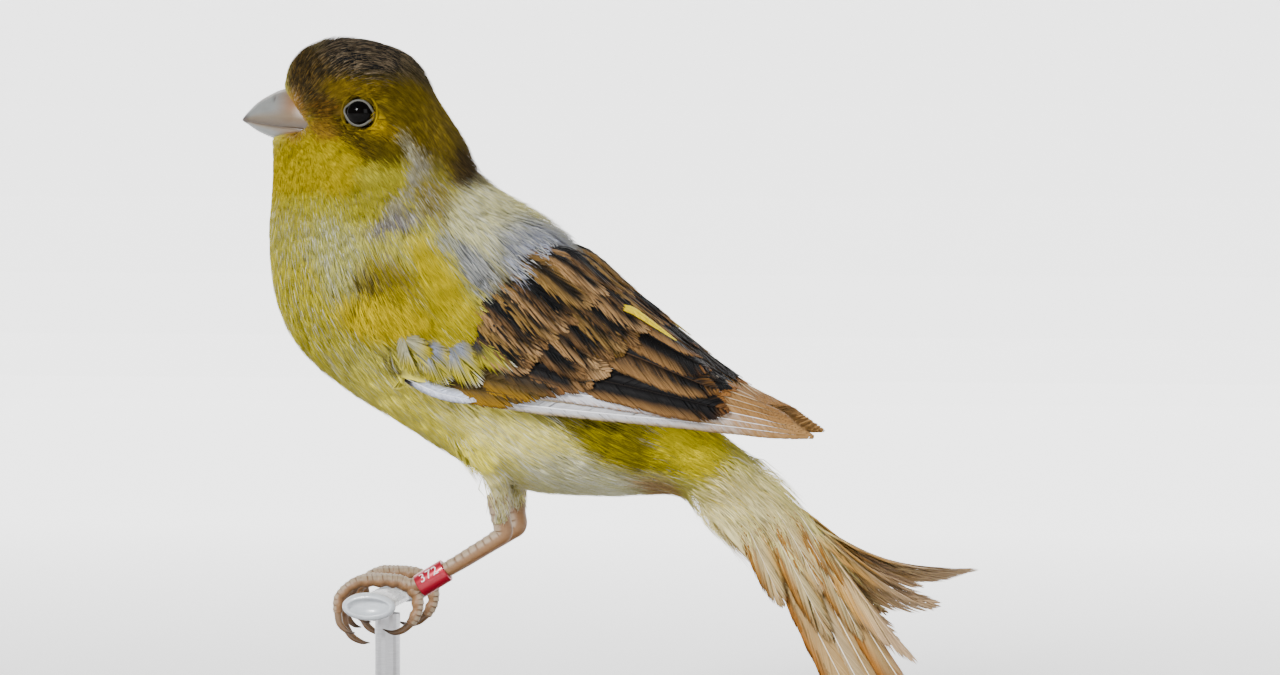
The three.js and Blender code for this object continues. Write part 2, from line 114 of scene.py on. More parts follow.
class Finish:
    # a material round one Principled shader, whose constant sockets are given by name
    def __init__(self, name, **constants):
        self.material = bpy.data.materials.new(name)
        self.material.use_nodes = True
        self.tree = self.material.node_tree
        self.shader = self.tree.nodes["Principled BSDF"]
        for socket, value in constants.items():
            self.set(socket.replace("_", " "), value)

    def set(self, socket, value):
        if isinstance(value, Wire):
            self.tree.links.new(value.socket, self.shader.inputs[socket])
        else:
            self.shader.inputs[socket].default_value = value

    def add(self, kind, settings=None, sockets=None, output=0):
        node = self.tree.nodes.new(kind)
        for name, value in (settings or {}).items():
            if name == "stops":
                ramp = node.color_ramp
                while len(ramp.elements) < len(value):
                    ramp.elements.new(0.5)
                for element, (position, colour) in zip(ramp.elements, value):
                    element.position = position
                    element.color = colour
            else:
                setattr(node, name, value)
        for name, value in (sockets or {}).items():
            if isinstance(value, Wire):
                self.tree.links.new(value.socket, node.inputs[name])
            else:
                node.inputs[name].default_value = value
        return Wire(self, node.outputs[output])

    def place(self, scale=(1, 1, 1), turn=(0, 0, 0)):
        spot = self.add("ShaderNodeTexCoord", output="Object")
        return self.add("ShaderNodeMapping", {}, {"Vector": spot, "Scale": scale, "Rotation": turn})

    def noise(self, scale, detail=3, rough=0.5, stretch=(1, 1, 1), turn=(0, 0, 0)):
        where = self.place(stretch, turn)
        sockets = {"Vector": where, "Scale": scale, "Detail": detail, "Roughness": rough}
        return self.add("ShaderNodeTexNoise", {}, sockets)

    def attribute(self, name):
        return self.add("ShaderNodeAttribute", {"attribute_name": name}, output="Color")

    def mix(self, factor, a, b, blend="MIX"):
        # sockets 6 and 7 of a Mix node are its two colours
        settings = {"data_type": "RGBA", "blend_type": blend}
        return self.add("ShaderNodeMix", settings, {0: factor, 6: a, 7: b}, output=2)

    def bump(self, height, distance, strength=1.0):
        return self.add("ShaderNodeBump", {}, {"Height": height, "Distance": distance, "Strength": strength})

    def setMarks(self, grain, factor):
        # the colours painted on the mesh, toned by the factor where the grain is high
        tone = self.attribute("mark")
        toned = self.mix(1, tone, (*factor, 1), "MULTIPLY")
        self.set("Base Color", self.mix(grain, tone, toned))


def newPiece(name, mesh, finish, replaced=(), smoothShade=True):
    piece = bpy.data.objects.new(name, mesh)
    scene.collection.objects.link(piece)
    mesh.materials.clear()
    mesh.materials.append(finish.material)
    if smoothShade:
        mesh.polygons.foreach_set("use_smooth", [True] * len(mesh.polygons))
    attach(piece, "root")
    if replaced:
        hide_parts(*replaced)


def meshFrom(bm, name):
    mesh = bpy.data.meshes.new(name)
    bm.to_mesh(mesh)
    bm.free()
    return mesh


# Camera, floor and light

view = {"turn": 8, "raise": 2.4, "away": 0.7, "across": 0.2016, "aim": (39.14, 7.23, 40.86), "sensor": 36}


def addCamera():
    data = bpy.data.cameras.new("camera")
    camera = bpy.data.objects.new("camera", data)
    scene.collection.objects.link(camera)
    turn, rise = math.radians(view["turn"]), math.radians(view["raise"])
    back = Vector((math.sin(turn) * math.cos(rise), -math.cos(turn) * math.cos(rise), math.sin(rise)))
    camera.location = Vector(toFrame(view["aim"])) + back * view["away"]
    camera.rotation_euler = back.to_track_quat("Z", "Y").to_euler()
    data.sensor_width = view["sensor"]
    data.lens = view["sensor"] * view["away"] / view["across"]
    data.clip_start = 0.01
    scene.camera = camera


sweep = {
    "colour": (250, 250, 250), "wide": 5, "front": -2.5, "back": 1.1, "bend": 0.6, "high": 3,
    "glow": 2.2, "dim": 0.1, "from": 0.05, "to": 0.5,  # it glows less in front of the object
}


def addSweep():
    # a white floor that bends up into a softly glowing wall
    bm = bmesh.new()
    start = bm.verts.new((-sweep["wide"], sweep["front"], 0))
    edges = []
    spots = [(sweep["back"], 0)]
    for turn in np.linspace(0, math.pi / 2, 13)[1:]:
        spots.append((sweep["back"] + sweep["bend"] * math.sin(turn), sweep["bend"] * (1 - math.cos(turn))))
    spots.append((sweep["back"] + sweep["bend"], sweep["high"]))
    for y, z in spots:
        onward = bm.verts.new((-sweep["wide"], y, z))
        edges.append(bm.edges.new((start, onward)))
        start = onward
    made = bmesh.ops.extrude_edge_only(bm, edges=edges)
    for v in made["geom"]:
        if isinstance(v, bmesh.types.BMVert):
            v.co.x = sweep["wide"]
    bmesh.ops.recalc_face_normals(bm, faces=bm.faces)
    finish = Finish("sweep paint", Roughness=0.9)
    finish.set("Specular IOR Level", 0.1)
    spot = finish.add("ShaderNodeSeparateXYZ", {}, {"Vector": finish.place()}, output=1)
    limits = {"Value": spot, "From Min": sweep["from"], "From Max": sweep["to"]}
    behind = finish.add("ShaderNodeMapRange", {"clamp": True}, limits)
    dim = (*[sweep["dim"]] * 3, 1)
    finish.set("Emission Color", finish.mix(behind, dim, (1, 1, 1, 1)))
    finish.set("Emission Strength", sweep["glow"])
    finish.set("Base Color", finish.mix(finish.noise(40, 2), rgba(sweep["colour"]), (0.9, 0.9, 0.9, 1)))
    ground = bpy.data.objects.new("floor", meshFrom(bm, "floor"))
    ground.data.materials.append(finish.material)
    scene.collection.objects.link(ground)


lights = [
    {"name": "key", "at": (-0.32, -0.8, 0.55), "size": 0.22, "power": 15},
    {"name": "fill", "at": (0.75, -0.6, 0.35), "size": 0.5, "power": 3.5},
]
lightsAim = (10, 0, 50)
sky = {"colour": (1, 1, 1, 1), "strength": 0.2}


def addLights():
    world = bpy.data.worlds.new("studio")
    scene.world = world
    world.use_nodes = True
    background = world.node_tree.nodes["Background"]
    background.inputs["Color"].default_value = sky["colour"]
    background.inputs["Strength"].default_value = sky["strength"]
    for light in lights:
        data = bpy.data.lights.new(light["name"], "AREA")
        data.size = light["size"]
        data.energy = light["power"]
        lamp = bpy.data.objects.new(light["name"], data)
        scene.collection.objects.link(lamp)
        aim = Vector(toFrame(lightsAim))
        lamp.location = Vector(light["at"])
        lamp.rotation_euler = (lamp.location - aim).to_track_quat("Z", "Y").to_euler()


addCamera()
addSweep()
addLights()
print("camera, floor and lights are up")

# Drawn forms: rings of points joined one after another

def curve(points, count):
    # a smooth line through the points, whose columns may hold radii too
    points = np.asarray(points, float)
    padded = np.concatenate([[2 * points[0] - points[1]], points, [2 * points[-1] - points[-2]]])
    spots = np.linspace(0, len(points) - 1, count)
    k = np.minimum(spots.astype(int), len(points) - 2)
    t = (spots - k)[:, None]
    a, b, c, d = (padded[k + i] for i in range(4))
    return (2 * b + (c - a) * t + (2 * a - 5 * b + 4 * c - d) * t ** 2 + (3 * b - a - 3 * c + d) * t ** 3) / 2


def loft(bm, rings, closes=False):
    # joins rings of as many points each; the ends are filled unless the row closes on itself
    loops = []
    for ring in rings:
        made = bmesh.ops.create_circle(bm, cap_ends=False, segments=len(ring), radius=mm)["verts"]
        for v, spot in zip(made, toFrame(ring)):
            v.co = Vector(spot)
        loops.append(list({edge for v in made for edge in v.link_edges}))
    for one, other in zip(loops, loops[1:] + loops[:1] if closes else loops[1:]):
        bmesh.ops.bridge_loops(bm, edges=one + other)
    if not closes:
        for end in (loops[0], loops[-1]):
            bmesh.ops.edgeloop_fill(bm, edges=end)


def finishedMesh(bm, name, colours=None):
    bmesh.ops.recalc_face_normals(bm, faces=bm.faces)
    bmesh.ops.triangulate(bm, faces=bm.faces)
    mesh = meshFrom(bm, name)
    if colours is not None:
        setColours(mesh, "mark", colours)
    return mesh


def setColours(mesh, name, colours):
    layer = mesh.color_attributes.new(name, "FLOAT_COLOR", "POINT")
    full = np.ones((len(colours), 4), np.float32)
    full[:, :3] = colours
    layer.data.foreach_set("color", full.ravel())


# The lie of the feathers: along the body's middle line, and away from the bill on the head

middleLine = np.array([
    (-5.4, 89), (-4.1, 79), (-2.5, 69.5), (-0.5, 62.8), (3.6, 53.9), (9.8, 44.7),
    (18.9, 36.3), (28.8, 28), (40, 22.6), (49, 20), (55, 14), (60, 7), (66, -2), (71.4, -10),
])
billRoot = np.array([-13.5, 0, 75.5])


def alongBody(points):
    # for each point: its share of the middle line, the line's direction there, and its angle round it
    start, end = middleLine[:-1], middleLine[1:]
    lengths = np.linalg.norm(end - start, axis=1)
    flat = points[:, [0, 2]]
    rel = flat[:, None, :] - start[None]
    share = np.clip((rel * (end - start)[None]).sum(2) / lengths[None] ** 2, 0, 1)
    gap = rel - share[:, :, None] * (end - start)[None]
    nearest = (gap ** 2).sum(2).argmin(1)
    rows = np.arange(len(points))
    before = np.concatenate([[0], np.cumsum(lengths)])
    along = (before[nearest] + share[rows, nearest] * lengths[nearest]) / before[-1]
    tangents = unit(np.gradient(middleLine, axis=0))
    part = share[rows, nearest][:, None]
    tangent = unit(lerp(tangents[nearest], tangents[nearest + 1], part))
    upward = np.stack([-tangent[:, 1], tangent[:, 0]], 1)
    rise = (gap[rows, nearest] * upward).sum(1)
    angle = np.arctan2(points[:, 1], rise)
    direction = np.stack([tangent[:, 0], np.zeros(len(points)), tangent[:, 1]], 1)
    return along, direction, angle


thighs = {"x": 18, "reach": (6, 9), "z": (15, 22), "lie": (0.3, 0, -1), "much": 0.8}


def thighShare(points):
    low = 1 - smooth(points[:, 2], *thighs["z"])
    return low * (1 - smooth(abs(points[:, 0] - thighs["x"]), *thighs["reach"]))


def featherLie(points, normals):
    _, direction, _ = alongBody(points)
    fromBill = points - billRoot
    reach = np.linalg.norm(fromBill, axis=1)
    face = (1 - smooth(reach, 12, 27))[:, None]
    lie = lerp(direction, unit(fromBill), face)
    lie = lerp(lie, np.array(thighs["lie"]), thighs["much"] * thighShare(points)[:, None])
    lie = lie - normals * (lie * normals).sum(1)[:, None]
    return unit(lie)


def wander(points, step, seed):
    # slow wavering numbers from about -1 to 1 over space
    random = np.random.default_rng(seed)
    total = np.zeros(len(points))
    for octave in range(4):
        way = unit(random.normal(size=(3, 3)))
        phase = random.uniform(0, 6.28, 3)
        for k in range(3):
            total += np.sin(points @ way[k] * 6.28 / (step * 0.7 ** octave) + phase[k]) * 0.7 ** octave
    return total / 4


# The folded wing's surface, between its lower and its upper edge at tenths of its length

wing = {
    "start": -2.4, "reach": 70.5, "topStart": 6, "topReach": 62,
    "lowZ": (44, 36, 33.4, 32.3, 31.2, 30.3, 29.5, 28.8, 28, 27.1, 26.2),
    "lowY": (16.3, 16.7, 16.5, 16.1, 15.3, 14.3, 13, 11.6, 10.1, 8.7, 7.4),
    "topZ": (55, 59, 60.6, 58.4, 54.6, 50.3, 45.4, 40.2, 35.3, 31.8, 28),
    "topY": (13.5, 10.5, 7.5, 5, 3, 2, 1.5, 1.5, 2, 3.5, 6.6),
}
fineShares = np.linspace(-0.15, 1.15, 261)


def fineTable(values):
    # the table read in fine steps, run on past its ends and rounded
    tenths = np.arange(len(values)) / 10
    run = np.interp(fineShares, tenths, values)
    run += np.minimum(fineShares, 0) * 10 * (values[1] - values[0])
    run += np.maximum(fineShares - 1, 0) * 10 * (values[-1] - values[-2])
    window = np.hanning(19)
    padded = np.concatenate([np.full(9, run[0]), run, np.full(9, run[-1])])
    return np.convolve(padded, window / window.sum(), "valid")


wingTables = {key: fineTable(wing[key]) for key in ("lowZ", "lowY", "topZ", "topY")}


def wingPlace(u, v, side=-1):
    read = {key: np.interp(u, fineShares, table) for key, table in wingTables.items()}
    turn = np.asarray(v) * math.pi / 2
    up = np.sin(turn)
    x = lerp(wing["start"] + wing["reach"] * u, wing["topStart"] + wing["topReach"] * u, up)
    y = lerp(read["topY"], read["lowY"], np.cos(turn))
    return np.stack([x, side * y, lerp(read["lowZ"], read["topZ"], up)], -1)


def wingGrid():
    u, v = np.meshgrid(np.linspace(-0.06, 1.06, 113), np.linspace(-0.08, 1, 28), indexing="ij")
    tree = KDTree(u.size)
    for i, spot in enumerate(wingPlace(u.ravel(), v.ravel())):
        tree.insert(spot, i)
    tree.balance()
    return tree, u.ravel(), v.ravel()


wingTree, wingU, wingV = wingGrid()


def wingShare(points):
    # the nearest place on the wing's surface, as its two shares, and how far off it lies
    found = [wingTree.find((x, -abs(y), z)) for x, y, z in points]
    index = np.array([i for _, i, _ in found])
    return wingU[index], wingV[index], np.array([distance for _, _, distance in found])


# The tail's surface, for shares of its length and angles round it

tail = {
    "x": 54.5, "z": 17.6, "drop": 56, "length": 47, "wide": (4.6, 8), "high": 10.5, "hump": 1.4,
    "under": (2.2, -2.2), "sink": 4.6, "bendAt": 0.15, "bend": 24,
    "firstTurn": 9, "turnStep": 13.6, "splayFrom": 0.05, "splayPull": 0.46,
    "rises": {-1: (5, 1, 0, 0, 0, 0), 1: (16, 27, 28, 21, 12, 5)},  # mm, from the middle outward
    "stub": (-0.3, 0.5), "stubIn": 3.4, "stubInFrom": (0.2, 0.46), "coatTo": 0.14,
}


def tailPlace(rise):
    drop = math.radians(tail["drop"])
    along = np.array([math.cos(drop), 0, -math.sin(drop)])
    up = np.array([math.sin(drop), 0, math.cos(drop)])

    def place(u, v):
        turn = np.radians(v)
        bent = np.maximum(0, u - tail["splayFrom"]) / (1 - tail["splayFrom"])
        x = tail["x"] + 0 * u
        y = lerp(*tail["wide"], u) * np.sin(turn)
        out = tail["length"] * u - tail["splayPull"] * rise * bent ** 2
        back = np.maximum(0, tail["bendAt"] - u) ** 2
        under = lerp(*tail["under"], smooth(u, -0.05, 0.35))
        over = tail["high"] + tail["hump"] * smooth(u, -0.2, 0.1) * (1 - smooth(u, 0.25, 0.85))
        arch = np.where(np.cos(turn) > 0, over, under) * np.cos(turn)
        lift = arch - tail["sink"] + rise * bent ** 2 - tail["bend"] * back * np.maximum(0, np.cos(turn))
        return np.stack([x, y, tail["z"] + 0 * u], -1) + out[..., None] * along + lift[..., None] * up
    return place


# The plumage's markings: soft patches laid over one another, in the bird's side view.
# at and size are millimetres, turn is degrees, streak is how far the middles of feathers go dark,
# and flecks is the share of single barbs that take the colour fleck.
ground = {"colour": (184, 176, 80), "streak": 0.0, "flecks": 0.06, "fleck": (200, 200, 190)}
patchEdge = {"from": 0.62, "to": 1.25, "sway": 0.9, "step": 9}
patches = [
    {"name": "head", "at": (0, 78), "size": (17, 13), "turn": -30, "colour": (108, 92, 14), "streak": 0.4,
     "flecks": 0.25, "fleck": (52, 42, 12)},
    {"name": "breast", "at": (-12, 50), "size": (10, 18), "colour": (178, 166, 44), "flecks": 0.16},
    {"name": "upper breast", "at": (-13, 57), "size": (9, 5), "colour": (170, 162, 60), "flecks": 0.2},
    {"name": "breast side", "at": (-4, 52), "size": (5, 10), "turn": 25, "colour": (170, 168, 98),
     "much": 0.8, "flecks": 0.3},
    {"name": "belly", "at": (16, 27), "size": (20, 7), "turn": -22, "colour": (226, 214, 84),
     "flecks": 0.15},
    {"name": "belly light", "at": (22, 27), "size": (13, 4.6), "turn": -24, "colour": (250, 240, 140),
     "much": 0.85, "flecks": 0.3, "fleck": (244, 242, 220)},
    {"name": "under belly", "at": (33, 19), "size": (12, 4.2), "turn": -4, "colour": (200, 198, 160),
     "much": 0.8, "streak": 0.2, "flecks": 0.45, "fleck": (226, 226, 222)},
    {"name": "flank", "at": (32, 29), "size": (7, 2.6), "turn": -18, "colour": (128, 114, 44), "much": 0.8,
     "streak": 0.7, "flecks": 0.3},
    {"name": "lower flank", "at": (40, 25), "size": (9, 4.5), "turn": -20, "colour": (172, 156, 2),
     "streak": 0.5, "flecks": 0.3, "fleck": (62, 52, 8)},
    {"name": "rump", "at": (49, 24), "size": (7, 4.5), "turn": -40, "colour": (216, 198, 0), "streak": 0.1},
    {"name": "tail root", "at": (57, 13), "size": (7, 9), "turn": -50, "colour": (240, 228, 168),
     "flecks": 0.2, "fleck": (214, 192, 30)},
    {"name": "tail down", "at": (64, 1), "size": (11, 14), "turn": -50, "colour": (212, 190, 140),
     "flecks": 0.35, "fleck": (160, 116, 46)},
    {"name": "vent", "at": (44, 17), "size": (5, 2.4), "turn": -20, "colour": (158, 122, 84), "much": 0.85,
     "streak": 0.3},
    {"name": "thigh", "at": (19.5, 14.5), "size": (6, 5.5), "colour": (206, 196, 134), "streak": 0.15,
     "flecks": 0.4, "fleck": (224, 224, 216)},
    {"name": "throat", "at": (-10, 67), "size": (11, 7.5), "turn": 8, "colour": (164, 145, 0),
     "flecks": 0.2, "fleck": (128, 108, 0)},
    {"name": "throat edge", "at": (-8, 60.8), "size": (9, 2.4), "turn": -8, "colour": (164, 156, 40),
     "much": 0.8, "flecks": 0.2, "fleck": (196, 192, 140)},
    {"name": "cheek", "at": (2.2, 67.2), "size": (4.6, 3.6), "turn": -10, "colour": (174, 164, 50),
     "flecks": 0.15, "fleck": (110, 92, 14)},
    {"name": "neck", "at": (1.5, 62), "size": (6, 3.6), "colour": (158, 148, 30), "much": 0.8,
     "streak": 0.2, "flecks": 0.15, "fleck": (120, 104, 30)},
    {"name": "head side", "at": (2, 76), "size": (10.5, 7.5), "turn": -20, "colour": (114, 96, 10),
     "streak": 0.4, "flecks": 0.25, "fleck": (52, 42, 12)},
    {"name": "below eye", "at": (0.6, 73.6), "size": (3.2, 1.5), "turn": -20, "colour": (160, 132, 0),
     "much": 0.85, "flecks": 0.2, "fleck": (80, 64, 10)},
    {"name": "forehead", "at": (-8, 82), "size": (7, 4.5), "turn": 30, "colour": (56, 48, 30),
     "streak": 0.6, "flecks": 0.25, "fleck": (122, 96, 44)},
    {"name": "front", "at": (-12.5, 83), "size": (4, 4), "turn": 20, "colour": (52, 44, 28), "streak": 0.5,
     "flecks": 0.25, "fleck": (126, 98, 44)},
    {"name": "brow", "at": (-3.5, 80), "size": (6, 1.8), "turn": -4, "colour": (120, 98, 10), "much": 0.85,
     "streak": 0.3, "flecks": 0.2, "fleck": (60, 48, 16)},
    {"name": "lore", "at": (-8, 77), "size": (3.4, 1.6), "turn": -8, "colour": (78, 58, 20), "much": 0.9,
     "streak": 0.5, "flecks": 0.25, "fleck": (140, 96, 30)},
    {"name": "gape", "at": (-7.8, 73.6), "size": (3.4, 1.8), "turn": -12, "colour": (128, 96, 30),
     "much": 0.85, "flecks": 0.2, "fleck": (70, 52, 30)},
    {"name": "whiskers", "at": (-2.8, 71.6), "size": (4.6, 1.2), "turn": -34, "colour": (64, 52, 14),
     "much": 0.85, "streak": 0.5, "flecks": 0.3, "fleck": (150, 126, 10)},
    {"name": "behind whiskers", "at": (2.4, 70.4), "size": (3, 1.8), "turn": -30, "colour": (96, 82, 12),
     "much": 0.7, "streak": 0.4, "flecks": 0.2, "fleck": (52, 42, 12)},
    {"name": "ear edge", "at": (5.6, 69.8), "size": (1, 3.6), "turn": 30, "colour": (178, 174, 150),
     "much": 0.75, "flecks": 0.3, "fleck": (150, 140, 60)},
    {"name": "ear edge below", "at": (6.5, 66.2), "size": (1.1, 3.6), "turn": -8, "colour": (160, 156, 146),
     "much": 0.75, "flecks": 0.3, "fleck": (132, 122, 60)},
    {"name": "neck edge", "at": (4.6, 61.8), "size": (1.2, 4), "turn": -32, "colour": (132, 128, 130),
     "much": 0.6, "flecks": 0.3},
    {"name": "bill edge", "at": (-13.6, 75.8), "size": (2, 4.6), "turn": 12, "colour": (140, 96, 44),
     "much": 0.7},
    {"name": "crown", "at": (-0.5, 87), "size": (13, 5.8), "turn": -12, "colour": (26, 27, 28),
     "streak": 0.3, "flecks": 0.46, "fleck": (142, 124, 98)},
    {"name": "nape", "at": (11.8, 72.5), "size": (4, 9.5), "turn": 20, "colour": (130, 110, 30),
     "streak": 0.45, "flecks": 0.4, "fleck": (62, 52, 26)},
    {"name": "nape edge", "at": (14.4, 66.5), "size": (1.8, 5), "turn": 28, "colour": (84, 68, 40),
     "streak": 0.6, "flecks": 0.3, "fleck": (34, 28, 22)},
    {"name": "head's back", "at": (11.6, 75.6), "size": (1.7, 8.5), "turn": 26, "colour": (82, 68, 38),
     "much": 0.75, "streak": 0.5, "flecks": 0.4, "fleck": (38, 32, 24)},
    {"name": "crown's back", "at": (7, 83), "size": (4.6, 3), "turn": -50, "colour": (52, 46, 34),
     "much": 0.8, "streak": 0.5, "flecks": 0.4, "fleck": (122, 106, 74)},
    {"name": "neck band", "at": (10.2, 62), "size": (2.6, 4), "turn": 40, "colour": (130, 112, 50),
     "much": 0.8, "streak": 0.5, "flecks": 0.35, "fleck": (150, 148, 144)},
    {"name": "band end", "at": (4, 58.8), "size": (5, 1.3), "turn": 26, "colour": (118, 112, 122),
     "much": 0.85, "streak": 0.2, "flecks": 0.25},
    {"name": "mantle", "at": (19, 58.5), "size": (8, 5.5), "turn": -40, "colour": (206, 202, 150),
     "flecks": 0.3},
    {"name": "wing root", "at": (32, 46), "size": (12.5, 8.5), "turn": -28, "colour": (92, 68, 36),
     "streak": 0.6, "flecks": 0.4, "fleck": (26, 22, 18)},
    {"name": "mantle end", "at": (26.5, 53.5), "size": (8, 5), "turn": -45, "colour": (156, 160, 176),
     "streak": 0.4, "flecks": 0.35},
    {"name": "shoulder grey", "at": (17.6, 51.8), "size": (5.2, 2.1), "turn": -48,
     "colour": (146, 150, 160), "much": 0.9, "streak": 0.7, "flecks": 0.4, "fleck": (206, 206, 204)},
    {"name": "neck grey", "at": (12.6, 55.6), "size": (2.6, 1.8), "turn": -40, "colour": (152, 156, 160),
     "much": 0.7, "flecks": 0.3},
    {"name": "shoulder", "at": (10, 43.5), "size": (14, 5), "turn": -12, "colour": (172, 156, 8),
     "flecks": 0.15, "fleck": (200, 190, 120)},
    {"name": "yellow strip", "at": (11.5, 49.6), "size": (8.5, 2.8), "turn": -56, "colour": (190, 170, 0),
     "flecks": 0.15, "fleck": (216, 200, 60)},
    {"name": "yellow fold", "at": (2.5, 44), "size": (8.5, 3.8), "turn": -8, "colour": (198, 174, 0),
     "flecks": 0.12, "fleck": (160, 138, 0)},
    {"name": "olive patch", "at": (3.4, 49.8), "size": (6.2, 2.7), "turn": -14, "colour": (156, 136, 4),
     "much": 0.85, "streak": 0.4, "flecks": 0.4, "fleck": (84, 66, 14)},
    {"name": "olive streaks", "at": (0, 48.9), "size": (3, 1.5), "turn": -20, "colour": (96, 78, 18),
     "much": 0.7, "streak": 0.7, "flecks": 0.4, "fleck": (150, 134, 20)},
    {"name": "alula root", "at": (4.2, 36.6), "size": (2.6, 0.9), "turn": -28, "colour": (66, 58, 50),
     "much": 0.8, "streak": 0.3, "flecks": 0.35, "fleck": (196, 196, 186)},
]
stripes = {"pitch": 1.0, "waver": 2.6, "dark": 0.55, "from": 0.2, "to": 0.75}


def stripeAt(points):
    # fine dark lines along the lie of the feathers, 0 to 1
    _, _, angle = alongBody(points)
    rel = points - billRoot
    face = 1 - smooth(np.linalg.norm(rel, axis=1), 16, 30)
    fromBill = np.arctan2(rel[:, 1], rel[:, 2] + 0.25 * rel[:, 0])
    around = lerp(angle, fromBill, face) * 9
    phase = 2 * math.pi * around / stripes["pitch"] + stripes["waver"] * wander(points, 4, 8)
    return smooth(0.5 + 0.5 * np.sin(phase) + 0.3 * wander(points, 2.2, 9), stripes["from"], stripes["to"])


def markings(points):
    # the colour, the streak, the share of flecks and their colour at each place of the skin
    colour = np.tile(linear(ground["colour"]), (len(points), 1))
    fleck = np.tile(linear(ground["fleck"]), (len(points), 1))
    streak = np.full(len(points), ground["streak"])
    flecks = np.full(len(points), ground["flecks"])
    sway = np.stack([wander(points, patchEdge["step"], seed) for seed in (5, 6)], 1) * patchEdge["sway"]
    for patch in patches:
        turn = math.radians(patch.get("turn", 0))
        off = points[:, [0, 2]] + sway - np.array(patch["at"])
        ahead = off[:, 0] * math.cos(turn) + off[:, 1] * math.sin(turn)
        up = off[:, 1] * math.cos(turn) - off[:, 0] * math.sin(turn)
        far = np.hypot(ahead / patch["size"][0], up / patch["size"][1])
        much = (1 - smooth(far, patchEdge["from"], patchEdge["to"])) * patch.get("much", 1)
        colour = lerp(colour, linear(patch["colour"]), much[:, None])
        fleck = lerp(fleck, linear(patch.get("fleck", ground["fleck"])), much[:, None])
        streak = lerp(streak, patch.get("streak", 0), much)
        flecks = lerp(flecks, patch.get("flecks", 0), much)
    return colour, streak, flecks, fleck


# The skin: the solids of the flesh as one, drawn in by the depth of the coat

billEdge = {"z": (72.5, 72.7, 73.3, 74.3, 77, 80.2, 81), "x": (-40, -14.8, -12.6, -11.4, -13.6, -16.2, -40)}
skin = {
    "parts": ["head", "neck", "torso", "thigh_left", "thigh_right"],
    "grow": 0.25, "voxel": 0.6, "ease": 5, "shade": 0.8,
    "billSink": 1.4, "billReach": (-0.2, 1.2),  # further in under the bill's root
    "chinUp": 1.8, "chinTo": 72.2, "chinAhead": (10, 13.5), "chinHeight": (66.5, 70.5),
    "thigh": {"x": 19.3, "reach": (6, 9), "z": (18.5, 24), "narrow": 0.34},
    "crease": {"x": (9, 27), "z": (12, 26), "ease": 18},  # where thigh and belly meet
    # shares of the wing past which it sinks into the body
    "shoulderTo": (0.36, 0.5), "shoulderInto": (22, 3, 36),
}
coatDepth = {"face": 0.35, "head": 0.9, "body": 1.6, "thigh": 0.8}


def besideBill(points):
    # how far a place of the skin lies in front of the feathers' edge round the bill, in millimetres
    return np.interp(points[:, 2], billEdge["z"], billEdge["x"]) - points[:, 0]


def depthAt(points):
    reach = np.linalg.norm(points - billRoot, axis=1)
    depth = lerp(coatDepth["face"], coatDepth["head"], smooth(reach, 5, 16))
    depth = lerp(depth, coatDepth["body"], smooth(reach, 18, 30))
    return lerp(depth, coatDepth["thigh"], smooth(-points[:, 2], -15, -12))


def sinkWing(part):
    # only the shoulder of a wing is skin: its vanes are drawn into the body
    points = toBird([v.co for v in part.verts])
    side = np.sign(points[:, 1].mean())
    u, _, _ = wingShare(points)
    sink = smooth(u, *skin["shoulderTo"])[:, None]
    inside = np.array(skin["shoulderInto"]) * (1, side, 1)
    for v, spot in zip(part.verts, toFrame(lerp(points, inside, sink))):
        v.co = Vector(spot)


def tailStub(bm):
    # the flesh and down of the tail's root, which narrows away under the tail's feathers
    turn = np.linspace(0, 360, 48, endpoint=False)
    rings = []
    for u in np.linspace(*tail["stub"], 24):
        ring = tailPlace(0)(np.full(len(turn), u), turn)
        inward = unit(ring.mean(0) - ring)
        narrow = tail["stubIn"] * smooth(u, *tail["stubInFrom"])
        half = np.linalg.norm(ring.mean(0) - ring, axis=1)
        rings.append(ring + inward * np.minimum(narrow, 0.8 * half)[:, None])
    loft(bm, rings)
    bmesh.ops.recalc_face_normals(bm, faces=bm.faces)


def tailShare(points):
    # how far along the tail a place lies, as a share of its length
    drop = math.radians(tail["drop"])
    away = points - np.array([tail["x"], 0, tail["z"]])
    return (away[:, 0] * math.cos(drop) - away[:, 2] * math.sin(drop)) / tail["length"]


def fleshAsOne():
    whole = bmesh.new()
    for name in skin["parts"] + ["wing_left", "wing_right", "tail"]:
        part = bmesh.new()
        if name == "tail":
            tailStub(part)
        else:
            part.from_mesh(nodes[name].data)
        bmesh.ops.remove_doubles(part, verts=part.verts, dist=1e-6)
        part.normal_update()
        for v in part.verts:
            v.co += v.normal * skin["grow"] * mm
        if name.startswith("wing"):
            sinkWing(part)
        grown = meshFrom(part, name)
        whole.from_mesh(grown)
        bpy.data.meshes.remove(grown)
    rough = bpy.data.objects.new("rough", meshFrom(whole, "rough"))
    scene.collection.objects.link(rough)
    remesh = rough.modifiers.new("remesh", "REMESH")
    remesh.mode = "VOXEL"
    remesh.voxel_size = skin["voxel"] * mm
    ready = rough.evaluated_get(bpy.context.evaluated_depsgraph_get())
    mesh = bpy.data.meshes.new_from_object(ready)
    bpy.data.objects.remove(rough)
    return mesh


def ease(bm, verts, times):
    for _ in range(times):
        bmesh.ops.smooth_vert(bm, verts=verts, factor=0.5, use_axis_x=True, use_axis_y=True, use_axis_z=True)


